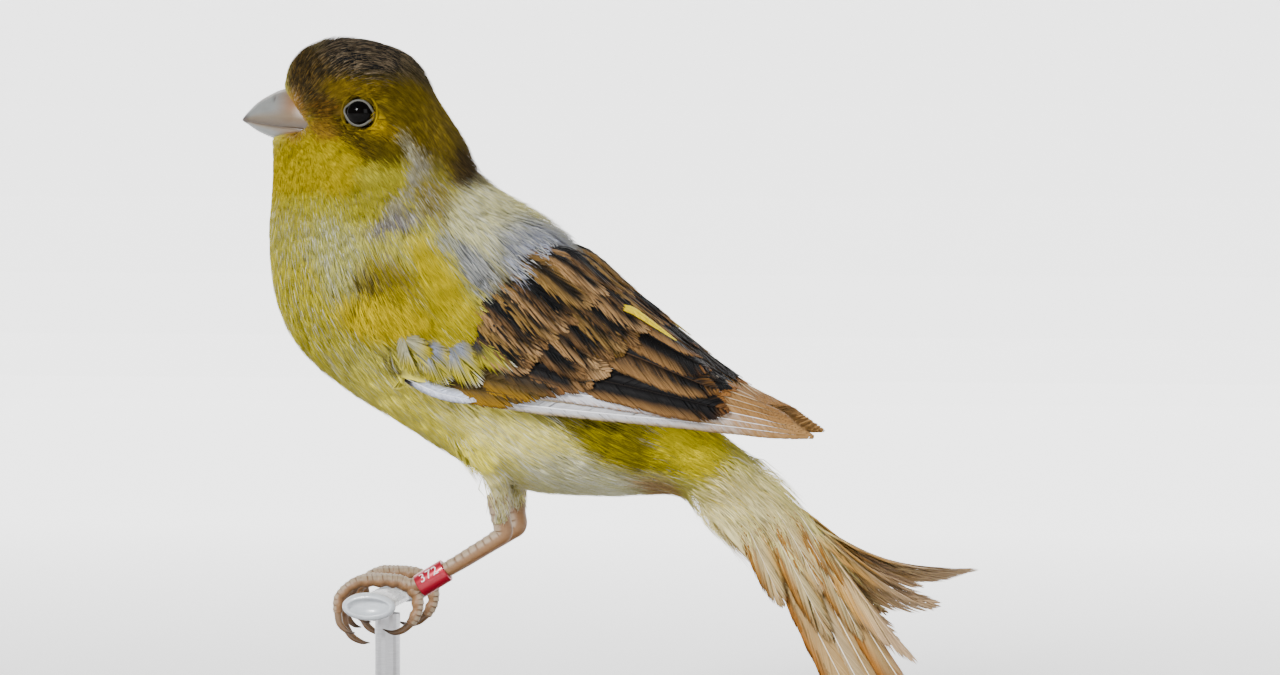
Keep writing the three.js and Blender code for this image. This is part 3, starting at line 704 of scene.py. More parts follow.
def drawIn(bm):
    # by the coat's depth, with the chin raised to the bill and the thighs made slimmer
    bm.normal_update()
    points = toBird([v.co for v in bm.verts])
    into = depthAt(points) + skin["grow"]
    into = into + skin["billSink"] * smooth(besideBill(points), *skin["billReach"])
    x, z = points[:, 0], points[:, 2]
    chin = skin["chinUp"] * smooth(-x, *skin["chinAhead"]) * smooth(z, *skin["chinHeight"])
    raised = np.minimum(chin, np.maximum(skin["chinTo"] - z, 0))
    thigh = skin["thigh"]
    beside = smooth(abs(x - thigh["x"]), *thigh["reach"])
    slim = (1 - smooth(z, *thigh["z"])) * (1 - beside) * (abs(points[:, 1]) > 2)
    for v, depth, up, across in zip(bm.verts, into, raised, thigh["narrow"] * slim * (thigh["x"] - x)):
        v.co -= v.normal * depth * mm
        v.co.z += up * mm
        v.co.x += across * mm


def makeSkin():
    mesh = fleshAsOne()
    bm = bmesh.new()
    bm.from_mesh(mesh)
    ease(bm, bm.verts, skin["ease"])
    drawIn(bm)
    ease(bm, bm.verts, 1)
    crease = skin["crease"]
    inCrease = []
    for v, (x, _, z) in zip(bm.verts, toBird([v.co for v in bm.verts])):
        if crease["x"][0] < x < crease["x"][1] and crease["z"][0] < z < crease["z"][1]:
            inCrease.append(v)
    ease(bm, inCrease, crease["ease"])
    bmesh.ops.triangulate(bm, faces=bm.faces)
    bm.to_mesh(mesh)
    bm.free()
    return mesh


def meshArrays(mesh):
    places = np.zeros(len(mesh.vertices) * 3)
    mesh.vertices.foreach_get("co", places)
    normals = np.zeros(len(mesh.vertices) * 3)
    mesh.vertices.foreach_get("normal", normals)
    corners = np.zeros(len(mesh.polygons) * 3, int)
    mesh.polygons.foreach_get("vertices", corners)
    return toBird(places.reshape(-1, 3)), normals.reshape(-1, 3), corners.reshape(-1, 3)


def unwrapOf(points):
    # places on the flattened skin: round the middle line, and along it
    along, _, angle = alongBody(points)
    return np.stack([0.02 + 0.96 * (angle / (2 * math.pi) + 0.5), 0.02 + 0.96 * along], 1)


skinMesh = makeSkin()
skinMesh.name = "skin"
skinPoints, skinNormals, skinFaces = meshArrays(skinMesh)
skinTree = BVHTree.FromPolygons(skinPoints.tolist(), skinFaces.tolist())
setColours(skinMesh, "mark", markings(skinPoints)[0] * skin["shade"])
print("skin", len(skinFaces), "faces")


# Barbs: thin closed blades with a ridge, each along a path of points

def blades(paths, widths, normals, thick):
    # paths and normals are (blade, step, xyz), widths (blade, step); the last step is the blade's point
    count, steps = paths.shape[:2]
    tangent = unit(np.gradient(paths, axis=1))
    side = unit(np.cross(normals, tangent))
    half = widths[:, :, None] / 2
    left = paths + side * half
    ridge = paths + normals * np.minimum(thick, widths)[:, :, None]
    right = paths - side * half
    rings = np.stack([left, ridge, right], 2)[:, :-1].reshape(count, -1, 3)
    places = np.concatenate([rings, paths[:, -1:]], 1)
    faces = [(2, 1, 0)]
    for k in range(steps - 2):
        for j in range(3):
            a, b = 3 * k + j, 3 * k + (j + 1) % 3
            faces += [(a, b, b + 3), (a, b + 3, a + 3)]
    last = 3 * (steps - 2)
    faces += [(last + j, last + (j + 1) % 3, last + 3) for j in range(3)]
    size = last + 4
    faces = np.array(faces)[None] + (np.arange(count) * size)[:, None, None]
    return places.reshape(-1, 3), faces.reshape(-1, 3)


def perVertex(values, steps):
    # a value for each step of each blade, given to the vertices that blades() makes
    rings = np.repeat(values[:, :-1], 3, axis=1)
    return np.concatenate([rings, values[:, -1:]], 1).reshape(-1, values.shape[-1])


def coatMesh(name, places, faces, colours, patchUv):
    mesh = bpy.data.meshes.new(name)
    mesh.vertices.add(len(places))
    mesh.vertices.foreach_set("co", toFrame(places).ravel())
    mesh.loops.add(faces.size)
    mesh.loops.foreach_set("vertex_index", faces.ravel().astype(np.int32))
    mesh.polygons.add(len(faces))
    mesh.polygons.foreach_set("loop_start", np.arange(0, faces.size, 3, dtype=np.int32))
    mesh.update(calc_edges=True)
    setColours(mesh, "mark", colours)
    layer = mesh.uv_layers.new(name="OFBake")
    layer.data.foreach_set("uv", patchUv[faces.ravel()].astype(np.float32).ravel())
    return mesh


# The body's coat

coat = {
    "piece": 19500,  # blades in one piece at most
    "barbs": 14, "barbWidth": 0.17, "barbThick": 0.045, "overlap": 13.4, "seed": 11, "patch": 0.003,
    "half": 0.25,  # a feather's half width as a share of its length
    "lengthVary": (0.8, 1.2), "depthVary": (0.88, 1.06), "turnVary": 0.08,
    "clear": (0.4, 2),  # where no other skin may lie over a root, from and to
    "curl": 0.1,  # the least cosine between the skin's normals at root and tip
    "shade": (0.76, 0.96, 1.04),  # from a barb's root to its point
    "tone": (0.8, 1.14), "shownAt": 0.45, "mixed": 0.45,
    "length": {"face": 1.5, "head": 4.0, "body": 8.2, "thigh": 5.2, "rump": 11.5},
}
# where the wing's vanes come out from under the coat: shares along, at shares across
vanesFrom = {
    "v": (0.02, 0.1, 0.15, 0.2, 0.25, 0.37, 0.43, 0.55, 0.8, 1),
    "u": (0.12, 0.15, 0.2, 0.26, 0.26, 0.22, 0.21, 0.31, 0.41, 0.42),
}
# where the coat stands further out at its feathers' tips: place, reach and height in millimetres
ruffles = [
    {"name": "forehead", "at": (-12.5, 0, 83.5), "reach": (5, 6.5, 5.5), "out": 1.2},
    {"name": "crown", "at": (6, 0, 87), "reach": (8, 7, 5), "out": 0.9},
    {"name": "nape", "at": (12, 0, 78), "reach": (6, 7, 12), "out": 1.1},
    {"name": "chin", "at": (-13.4, 0, 71.6), "reach": (4, 6, 2), "out": 0.9},
    {"name": "rump", "at": (57, 0, 21), "reach": (7, 7, 7), "out": 0.7},
    {"name": "back", "at": (23, 0, 61), "reach": (9, 6, 7), "out": 1.9},
    {"name": "mantle's edge", "at": (25, -13, 52), "reach": (6, 8, 7), "out": 1.1},
    {"name": "far mantle's edge", "at": (25, 13, 52), "reach": (6, 8, 7), "out": 1.1},
]


def ruffleAt(points):
    out = np.zeros(len(points))
    for ruffle in ruffles:
        far = np.linalg.norm((points - np.array(ruffle["at"])) / np.array(ruffle["reach"]), axis=1)
        out = np.maximum(out, ruffle["out"] * (1 - smooth(far, 0.3, 1.2)))
    return out


def lengthAt(points):
    size = coat["length"]
    reach = np.linalg.norm(points - billRoot, axis=1)
    length = lerp(size["face"], size["head"], smooth(reach, 3, 13))
    length = lerp(length, size["body"], smooth(reach, 17, 34))
    length = lerp(length, size["rump"], smooth(points[:, 0], 40, 52))
    return lerp(length, size["thigh"], thighShare(points))


def sampleSkin(random):
    corners = skinPoints[skinFaces]
    area = np.linalg.norm(np.cross(corners[:, 1] - corners[:, 0], corners[:, 2] - corners[:, 0]), axis=1) / 2
    middle = corners.mean(1)
    length = lengthAt(middle)
    want = area * coat["overlap"] / (1.6 * coat["half"] * length * length)
    want[bareSkin(middle) | ((tailShare(middle) > tail["coatTo"]) & (middle[:, 0] > tail["x"]))] = 0
    u, v, off = wingShare(middle)
    vaned = np.interp(v, vanesFrom["v"], vanesFrom["u"]) + 0.02 + 0.03 * wander(middle, 2.5, 12)
    want[(u > vaned) & (off < 4) & (v > -0.02) & (u < 0.96) & (v < 0.93)] = 0
    along, _, angle = alongBody(middle)
    order = np.lexsort((angle, np.round(along * 70)))
    running = np.cumsum(want[order])
    count = int(running[-1])
    spots = (np.arange(count) + random.uniform(0, 1, count)) * running[-1] / count
    pick = order[np.minimum(np.searchsorted(running, spots), len(order) - 1)]
    r1, r2 = np.sqrt(random.uniform(0, 1, (count, 1))), random.uniform(0, 1, (count, 1))
    chosen = corners[pick]
    roots = chosen[:, 0] * (1 - r1) + chosen[:, 1] * r1 * (1 - r2) + chosen[:, 2] * r1 * r2
    return roots, unit(skinNormals[skinFaces[pick]].mean(1))


eyeball = {"at": (-2.5, 7.95, 76.1), "radius": 2.3}


def bareSkin(points):
    # round the eye and the bill no feather grows
    x, _, z = eyeball["at"]
    nearEye = np.hypot(points[:, 0] - x, points[:, 2] - z) < eyeball["radius"]
    return (nearEye & (abs(points[:, 1]) > 4)) | (besideBill(points) > 0)


def followSkin(points, lie, distance):
    stepped = points + lie * distance[:, None]
    places = np.zeros_like(points)
    normals = np.zeros_like(points)
    for i, p in enumerate(stepped):
        spot, _, face, _ = skinTree.find_nearest(Vector(p))
        places[i] = spot
        normals[i] = skinNormals[skinFaces[face]].mean(0)
    return places, unit(normals)


def growCoat():
    random = np.random.default_rng(coat["seed"])
    roots, normals = sampleSkin(random)
    # none in the crease between thigh and belly, where it would come out through the other side
    start, reach = coat["clear"]
    rays = [skinTree.ray_cast(Vector(p + start * n), Vector(n), reach) for p, n in zip(roots, normals)]
    free = [ray[0] is None for ray in rays]
    roots, normals = roots[free], normals[free]
    count = len(roots)
    length = lengthAt(roots) * random.uniform(*coat["lengthVary"], count)
    turn = random.normal(0, coat["turnVary"], count)[:, None]
    lie = featherLie(roots, normals)
    lie = unit(lie + np.cross(normals, lie) * turn)
    middle, middleNormal = followSkin(roots, lie, length * 0.5)
    onward = featherLie(middle, middleNormal)
    onward = unit(onward + np.cross(middleNormal, onward) * turn)
    tip, tipNormal = followSkin(middle, onward, length * 0.5)
    depth = depthAt(roots) * random.uniform(*coat["depthVary"], count)

    barbs = coat["barbs"]
    across = (np.arange(barbs) + 0.5) / barbs * 2 - 1
    across = across[None] + random.uniform(-0.5, 0.5, (count, barbs)) / barbs
    widest = length[:, None] * coat["half"] * across
    reach = 1 - 0.3 * across ** 2 + random.uniform(-0.3, 0.1, (count, barbs))
    steps = np.stack([0.02 + 0.1 * random.uniform(0, 1, (count, barbs)), 0.52 * reach, reach], 2)
    sideways = np.stack([0.6 * widest, 0.9 * widest, widest * random.uniform(0.8, 1.15, (count, barbs))], 2)
    lift = np.stack([np.full_like(across, -0.12), 0.62 - 0.12 * across ** 2, 0.92 - 0.25 * across ** 2], 2)
    lift[:, :, 1:] += random.uniform(-0.09, 0.09, (count, barbs, 1))

    def blend(a, b, c, t):
        t = t[..., None]
        return a * (1 - t) * (1 - 2 * t) + b * 4 * t * (1 - t) + c * t * (2 * t - 1)

    spread = [p[:, None, None, :] for p in (roots, middle, tip)]
    centre = blend(*spread, steps)
    upward = unit(blend(*[n[:, None, None, :] for n in (normals, middleNormal, tipNormal)], steps))
    forward = np.stack([lie, unit(tip - roots), onward], 1)[:, None]
    side = unit(np.cross(upward, forward))
    ruffled = ruffleAt(roots)[:, None, None] * np.array([0, 0.55, 1.0])
    paths = centre + side * sideways[..., None] + upward * (lift * depth[:, None, None] + ruffled)[..., None]
    width = coat["barbWidth"] * (0.5 + 0.5 * smooth(length, 1.5, 6))[:, None, None]
    widths = np.array([0.6, 1.0, 0.0])[None, None] * width * np.ones((count, barbs, 1))

    # each barb takes the markings of the place where it shows
    shown = lerp(paths[:, :, 1], paths[:, :, 2], coat["shownAt"]).reshape(-1, 3)
    mixed = shown + random.normal(0, coat["mixed"], shown.shape)
    colour, streak, flecks, fleck = (a.reshape(count, barbs, -1) for a in markings(mixed))
    tone = random.uniform(0.97, 1.03, (count, 1, 1)) * random.uniform(*coat["tone"], (count, barbs, 1))
    middles = streak * (1 - smooth(abs(across), 0.1, 0.6))[..., None] * random.uniform(0.5, 1, (count, 1, 1))
    lines = stripes["dark"] * streak * stripeAt(shown).reshape(count, barbs, 1)
    barbColour = colour * tone * (1 - 0.85 * np.minimum(middles + lines, 1))
    chosen = random.uniform(0, 1, (count, barbs, 1)) < flecks
    barbColour = lerp(barbColour, fleck, chosen * random.uniform(0.3, 0.75, (count, barbs, 1)))
    shade = np.array(coat["shade"])[None, None, :, None]
    colours = barbColour[:, :, None, :] * shade

    rootUv = unwrapOf(roots)
    offset = np.stack([across[:, :, None] * 0.5 * np.ones((1, 1, 3)), steps - 0.5], 3) * coat["patch"]
    uv = rootUv[:, None, None, :] + offset
    flatten = lambda a: a.reshape(count * barbs, 3, -1)
    kept = random.uniform(0, 1, count * barbs) < np.repeat(lerp(0.66, 1, smooth(length, 2, 5)), barbs)
    # none that would curl round an edge
    kept &= np.repeat((normals * tipNormal).sum(1) > coat["curl"], barbs)
    parts = [flatten(a)[kept] for a in (paths, widths[..., None], upward, colours, uv)]
    print("coat", count, "feathers,", kept.sum(), "barbs")
    return parts


def plumage():
    finish = Finish("plumage", Roughness=0.7)
    finish.set("Specular IOR Level", 0.06)
    finish.setMarks(finish.noise(900, 2), (1.16, 1.15, 1.1))
    return finish


plumageFinish = plumage()


def addCoat():
    paths, widths, normals, colours, uv = growCoat()
    along, _, _ = alongBody(paths[:, 0])
    order = np.argsort(along, kind="stable")
    pieces = math.ceil(len(order) / coat["piece"])
    for k, chosen in enumerate(np.array_split(order, pieces)):
        places, faces = blades(paths[chosen], widths[chosen][:, :, 0], normals[chosen], coat["barbThick"])
        name = f"coat_{k + 1:02d}"
        mesh = coatMesh(name, places, faces, perVertex(colours[chosen], 3), perVertex(uv[chosen], 3))
        newPiece(name, mesh, plumageFinish)


newPiece("skin", skinMesh, plumageFinish, skin["parts"])
addCoat()
print("coat combed")

# Vanes: feathers of many barbs on both sides of a shaft, each laid on a surface

outlines = {
    "long": ((0, 0.35), (0.12, 0.75), (0.3, 0.95), (0.7, 1), (0.86, 0.85), (0.95, 0.5), (1, 0.08)),
    "blunt": ((0, 0.3), (0.2, 0.75), (0.5, 1), (0.78, 0.98), (0.92, 0.72), (1, 0.15)),
    "tail": ((0, 0.4), (0.2, 0.72), (0.5, 0.9), (0.82, 1), (0.95, 0.75), (1, 0.2)),
    "point": ((0, 0.6), (0.2, 1), (0.5, 0.75), (0.8, 0.35), (1, 0.05)),
}
vaneBarb = {
    "spacing": 0.26, "cover": 2.1, "thick": 0.055, "steps": (0, 0.4, 0.82, 1), "ends": (1, 1.05, 0.75, 0),
}


class Plume:
    # the barbs and shafts of many feathers, gathered into one mesh
    def __init__(self, name, count):
        self.name = name
        self.columns = math.ceil(math.sqrt(count / 3))
        self.rows = math.ceil(count / self.columns)
        self.done = 0
        self.parts = []
        self.size = 0

    def add(self, paths, widths, normals, thick, colours, uv):
        places, faces = blades(paths, widths, normals, thick)
        self.parts.append((places, faces + self.size, perVertex(colours, 3), perVertex(uv, 3)))
        self.size += len(places)

    def cell(self, along, across):
        # a feather's own oblong of the map, with its length upward
        column, row = self.done % self.columns, self.done // self.columns
        x = (column + 0.5 + 0.42 * across) / self.columns
        y = (row + 0.06 + 0.88 * along) / self.rows
        return np.stack([x, y], -1)

    def mesh(self):
        places, faces, colours, uv = (np.concatenate(part) for part in zip(*self.parts))
        return coatMesh(self.name, places, faces, colours, uv)


def vaneColour(look, along, across, random):
    # across runs from -1 at the lower edge to 1 at the upper one
    sway = random.normal(0, look.get("sway", 0.03), along.shape[:1])[:, None]
    colour = np.broadcast_to(linear(look["centre"]), (*along.shape, 3))

    def over(colour, key, much):
        return lerp(colour, linear(look[key]), much[..., None]) if key in look else colour

    lowFrom, highFrom = look.get("lowFrom", 0.4), look.get("highFrom", 0.5)
    colour = over(colour, "low", smooth(-across + sway, lowFrom - 0.12, lowFrom + 0.18))
    colour = over(colour, "high", smooth(across + sway, highFrom - 0.12, highFrom + 0.18))
    tipFrom, rootTo = look.get("tipFrom", 0.85), look.get("rootTo", 0.3)
    colour = over(colour, "tip", smooth(along + sway, tipFrom - look.get("tipSoft", 0.06), tipFrom + 0.08))
    rooted = 1 - smooth(along + sway, rootTo - 0.1, rootTo + 0.1)
    colour = over(colour, "root", rooted * (1 - smooth(abs(across), look.get("rootHalf", 1.0), 1.25)))
    return colour


def slopes(surface, u, v, unitV):
    # a surface's place, its two directions and its normal at shares u and v
    step = 0.004
    place = surface(u, v)
    alongU = (surface(u + step, v) - surface(u - step, v)) / (2 * step)
    alongV = (surface(u, v + step * unitV) - surface(u, v - step * unitV)) / (2 * step * unitV)
    return place, alongU, alongV, unit(np.cross(alongU, alongV))


def layVane(plume, surface, feather, random):
    share = np.linspace(0, 1, 41)
    root, tip = np.array(feather["root"]), np.array(feather["tip"])
    spots = lerp(root, tip, share[:, None])
    u, v = spots[:, 0], spots[:, 1]
    unitV = feather.get("unit", 1)
    ground, alongU, alongV, normal = slopes(surface, u, v, unitV)
    height = lerp(feather["rootLift"], feather["lift"], smooth(share, 0, 0.45))
    shaft = ground + normal * feather["outward"] * height[:, None]
    length = np.linalg.norm(np.diff(shaft, axis=0), axis=1).sum()
    forward = unit(np.gradient(shaft, axis=0))
    side = unit(np.cross(normal, forward))
    side = side * np.sign((side * alongV).sum(1).mean())
    # how far u and v change for a millimetre sideways
    uu, uv, vv = ((a * b).sum(1) for a, b in ((alongU, alongU), (alongU, alongV), (alongV, alongV)))
    su, sv = (side * alongU).sum(1), (side * alongV).sum(1)
    around = np.stack([su * vv - sv * uv, sv * uu - su * uv], 1) / (uu * vv - uv * uv)[:, None]
    shape = np.array(outlines[feather["outline"]])
    look = feather["look"]
    tone = random.uniform(0.9, 1.08)

    def onVane(along, across, widest):
        # places on the vane, for shares of its length and of its half width
        index = np.clip(along, 0, 1) * (len(share) - 1)
        low = np.minimum(index.astype(int), len(share) - 2)
        part = (index - low)[..., None]
        read = lambda table: table[low] * (1 - part) + table[low + 1] * part
        spot = read(spots) + read(around) * (across * widest)[..., None]
        under, _, _, facing = slopes(surface, spot[..., 0], spot[..., 1], unitV)
        lifted = read(height[:, None])[..., 0]
        lifted = lifted - feather["tilt"] * across - feather.get("camber", 0.25) * across ** 2
        normals = facing * feather["outward"]
        return under + normals * lifted[..., None], normals

    spacing = feather.get("spacing", vaneBarb["spacing"])
    count = int(length / spacing)
    steps = np.array(vaneBarb["steps"])[None]
    for way, widest in ((-1, feather["low"]), (1, feather["high"])):
        ends = np.linspace(0.03, 1.0, count) + random.normal(0, 0.15, count) / count
        fray = feather.get("fray", 0.05)
        notches = abs(np.sin(ends * random.uniform(18, 30) + random.uniform(0, 6)))
        shorter = fray * (feather.get("notched", 0.6) * notches + 1.4 * random.uniform(0, 1, count) ** 3)
        half = np.interp(ends, shape[:, 0], shape[:, 1]) * (1 - shorter)
        slope = feather.get("slope", 1.7) * widest * half / length
        start = np.maximum(ends - slope, ends * 0.15)
        along = start[:, None] + (ends - start)[:, None] * steps ** 1.15
        across = way * half[:, None] * steps ** 0.9 * np.ones_like(along)
        paths, normals = onVane(along, across, widest)
        loose = feather.get("loose", 0.04) * random.uniform(-1, 1, (count, 1, 1)) * steps[..., None]
        paths = paths + normals * loose
        spread = spacing * vaneBarb["cover"]
        widths = spread * np.array(vaneBarb["ends"])[None] * np.ones_like(along)
        colours = vaneColour(look, along, across, random)
        rough = look.get("rough", 0.14)
        colours = colours * tone * random.uniform(0.98 - rough, 0.98 + rough, (count, 1, 1))
        plume.add(paths, widths, normals, vaneBarb["thick"], colours, plume.cell(along, across))
    quill = np.linspace(0, 0.97, 12)[None]
    paths, normals = onVane(quill, np.zeros_like(quill), 1.0)
    paths = paths + normals * 0.03
    widths = lerp(feather.get("quill", 0.34), 0.08, quill)
    shade = np.broadcast_to(linear(look.get("shaft", look["centre"])), (1, 12, 3))
    plume.add(paths, widths, normals, 0.14, shade, plume.cell(quill, quill * 0))
    plume.done += 1


def tierFeathers(tier):
    # one feather after another, from the tier's first to its last
    shares = np.linspace(0, 1, tier["count"])
    for i, share in enumerate(shares):
        feather = {key: value for key, value in tier.items() if key not in ("root", "tip", "looks", "count")}
        for key in ("root", "tip"):
            keys = np.array(tier[key], float)
            at = np.linspace(0, 1, len(keys))
            feather[key] = (np.interp(share, at, keys[:, 0]), np.interp(share, at, keys[:, 1]))
        feather["look"] = vaneLooks[tier["looks"][i % len(tier["looks"])]]
        yield feather


vaneLooks = {
    "primary": {"centre": (178, 178, 182), "low": (150, 134, 104), "lowFrom": 0.6, "high": (150, 132, 100),
                "tip": (140, 106, 64), "tipFrom": 0.84, "tipSoft": 0.3, "shaft": (240, 242, 248),
                "rough": 0.08},
    "primaryTan": {"centre": (158, 138, 108), "low": (144, 106, 58), "high": (136, 110, 74),
                   "tip": (134, 98, 56), "tipFrom": 0.8, "tipSoft": 0.3, "shaft": (190, 168, 138),
                   "rough": 0.1},
    "white": {"centre": (182, 182, 188), "low": (150, 104, 44), "lowFrom": 0.8, "high": (170, 166, 160),
              "tip": (126, 84, 40), "tipFrom": 0.84, "shaft": (244, 244, 248), "rough": 0.08},
    "secondary": {"centre": (150, 144, 130), "low": (130, 88, 24), "high": (128, 112, 86),
                  "tip": (126, 84, 40), "tipFrom": 0.7, "shaft": (205, 198, 186)},
    "tertial": {"centre": (8, 7, 8), "low": (118, 86, 48), "lowFrom": 0.62, "high": (20, 17, 16),
                "tip": (96, 62, 28), "tipFrom": 0.96, "shaft": (26, 22, 20)},
    "tertialBuff": {"centre": (12, 10, 10), "low": (122, 90, 52), "lowFrom": 0.42, "high": (18, 15, 14),
                    "tip": (112, 76, 34), "tipFrom": 0.94, "shaft": (64, 46, 30)},
    "frayed": {"centre": (18, 14, 12), "low": (44, 34, 24), "high": (36, 28, 22), "tip": (10, 9, 9)},
    "oliveCovert": {"centre": (58, 45, 18), "low": (122, 90, 10), "lowFrom": 0.35, "high": (30, 24, 14),
                    "tip": (84, 60, 18), "tipFrom": 0.9},
    "darkCovert": {"centre": (28, 23, 17), "low": (74, 55, 24), "high": (70, 50, 24), "tip": (104, 70, 34)},
    "buffCovert": {"centre": (12, 10, 10), "low": (138, 106, 68), "lowFrom": 0.26, "high": (128, 98, 62),
                   "highFrom": 0.28, "tip": (142, 112, 76)},
    "oliveBuff": {"centre": (24, 19, 13), "low": (122, 94, 48), "lowFrom": 0.28, "high": (116, 88, 44),
                  "highFrom": 0.3, "tip": (134, 104, 62)},
    "blackCovert": {"centre": (8, 8, 9), "low": (88, 64, 38), "lowFrom": 0.5, "high": (60, 42, 26),
                    "highFrom": 0.6, "tip": (106, 78, 46)},
    "median": {"centre": (150, 140, 44), "low": (158, 146, 30), "high": (156, 142, 20),
               "root": (112, 118, 134), "rootTo": 0.5, "rootHalf": 0.25, "tip": (196, 196, 184),
               "tipFrom": 0.93, "rough": 0.2},
    "medianPale": {"centre": (158, 148, 52), "low": (156, 144, 30), "high": (152, 138, 18),
                   "root": (140, 138, 112), "rootTo": 0.5, "rootHalf": 0.3, "tip": (190, 190, 170),
                   "tipFrom": 0.93, "rough": 0.2},
    "medianSpot": {"centre": (156, 146, 40), "low": (156, 144, 34), "high": (160, 146, 26),
                   "root": (44, 40, 42), "rootTo": 0.45, "rootHalf": 0.3, "tip": (200, 200, 188),
                   "tipFrom": 0.9, "rough": 0.2},
    "alula": {"centre": (176, 182, 200), "low": (146, 148, 158), "high": (150, 150, 140),
              "root": (30, 27, 30), "rootTo": 0.16, "tip": (180, 182, 190), "shaft": (238, 240, 248)},
    "bright": {"centre": (206, 182, 0), "low": (186, 158, 0), "high": (200, 180, 10), "shaft": (210, 188, 0)},
}

wingTiers = [
    {"name": "primaries", "count": 9, "root": ((0.17, -0.01), (0.45, 0.32)),
     "tip": ((1, 0.03), (0.87, 0.85)), "low": 1.3, "high": 4.2, "lift": 0.5, "outline": "long",
     "looks": ["primary"] * 3 + ["primaryTan"] * 6,
     "fray": 0.12},
    {"name": "secondaries", "count": 6, "root": ((0.26, 0.06), (0.44, 0.4)),
     "tip": ((0.78, 0.11), (0.82, 0.6)), "low": 1.6, "high": 3.8, "lift": 0.85, "outline": "long",
     "looks": ["white", "secondary", "secondary"], "fray": 0.08},
    {"name": "last tertials", "count": 4, "root": ((0.48, 0.4), (0.5, 0.85)),
     "tip": ((0.8, 0.48), (0.78, 0.9)), "low": 2.2, "high": 2.6, "lift": 1.15, "outline": "long",
     "looks": ["frayed"], "fray": 0.35},
    {"name": "tertials", "count": 5, "root": ((0.42, 0.16), (0.46, 0.9)),
     "tip": ((0.81, 0.2), (0.68, 0.88)), "low": 3.2, "high": 2.8, "lift": 1.4, "outline": "long",
     "looks": ["tertial", "tertialBuff"]},
    {"name": "greater coverts", "count": 8, "root": ((0.17, 0.03), (0.3, 0.2), (0.4, 0.6)),
     "tip": ((0.38, 0.03), (0.54, 0.15), (0.6, 0.6)), "low": 2.6, "high": 3.0, "lift": 1.6,
     "outline": "blunt", "looks": ["oliveCovert", "oliveCovert", "darkCovert", "blackCovert", "buffCovert"],
     "fray": 0.14},
    {"name": "alula", "count": 1, "root": ((0.12, 0.0), (0.12, 0.0)), "tip": ((0.28, -0.01), (0.28, -0.01)),
     "low": 0.9, "high": 1.3, "lift": 1.7, "outline": "long", "looks": ["alula"], "quill": 0.2},
    {"name": "scapulars", "count": 9, "root": ((0.3, 0.34), (0.38, 0.6), (0.42, 0.93)),
     "tip": ((0.5, 0.16), (0.59, 0.42), (0.62, 0.88)), "low": 2.6, "high": 2.6, "lift": 1.85, "slope": 5,
     "outline": "blunt", "looks": ["blackCovert", "buffCovert", "blackCovert", "oliveBuff"], "fray": 0.45,
     "loose": 0.2, "spacing": 0.2},
    {"name": "upper scapulars", "count": 12, "root": ((0.22, 0.22), (0.2, 0.4), (0.25, 0.56), (0.34, 0.95)),
     "tip": ((0.38, 0.13), (0.4, 0.22), (0.46, 0.4), (0.53, 0.9)), "low": 2.5, "high": 2.5, "lift": 2.1,
     "slope": 5.5, "outline": "blunt", "looks": ["buffCovert", "blackCovert", "oliveBuff"], "fray": 0.5,
     "loose": 0.25, "spacing": 0.2},
    {"name": "bright feather", "count": 1, "root": ((0.475, 0.67), (0.475, 0.67)),
     "tip": ((0.65, 0.59), (0.65, 0.59)), "low": 1.3, "high": 0.9, "lift": 2.3, "outline": "point",
     "looks": ["bright"]},
    {"name": "median coverts", "count": 4, "root": ((0.09, 0.15), (0.13, 0.16), (0.175, 0.2), (0.22, 0.23)),
     "tip": ((0.17, 0.055), (0.222, 0.035), (0.287, 0.045), (0.35, 0.13)), "low": 3, "high": 3, "lift": 2.2,
     "slope": 6, "outline": "blunt", "looks": ["medianPale", "median", "median", "medianSpot"], "fray": 0.3,
     "loose": 0.15, "spacing": 0.12, "quill": 0.1},
]
wingLie = {"rootLift": 0.3, "tilt": 0.2}
# how far the wing's upper part sinks, over which shares across and along, and what share at its root
wingSink = {"most": 3.0, "across": (0.45, 1), "along": (0.36, 0.5), "atRoot": 0.4}


def vaneFinish(name):
    finish = Finish(name, Roughness=0.55)
    finish.set("Specular IOR Level", 0.14)
    finish.setMarks(finish.noise(1200, 2), (1.2, 1.18, 1.15))
    return finish


flightFinish = vaneFinish("flight feather")


def addWing(name, side):
    random = np.random.default_rng(30 + side)
    plume = Plume(name, sum(tier["count"] for tier in wingTiers))
    down = np.array([0, 0, wingSink["most"]])

    def surface(u, v):
        along = wingSink["atRoot"] + (1 - wingSink["atRoot"]) * smooth(u, *wingSink["along"])
        return wingPlace(u, v, side) - (smooth(v, *wingSink["across"]) * along)[..., None] * down

    for tier in wingTiers:
        for feather in tierFeathers(tier | wingLie | {"outward": -side}):
            layVane(plume, surface, feather, random)
    mesh = plume.mesh()
    print(name, len(mesh.polygons), "faces")
    newPiece(name + "_vanes", mesh, flightFinish, [name])


addWing("wing_left", -1)
addWing("wing_right", 1)

# The tail: twelve feathers in a roof, the middle pair on top; the far ones splay upward

tailLie = {
    "outline": "tail", "low": 3.1, "high": 3.1, "rootLift": -3.0, "fray": 0.12, "slope": 4.6, "quill": 0.4,
    "unit": 100, "outward": 1,  # across it counts degrees, so its steps there are so much larger
}
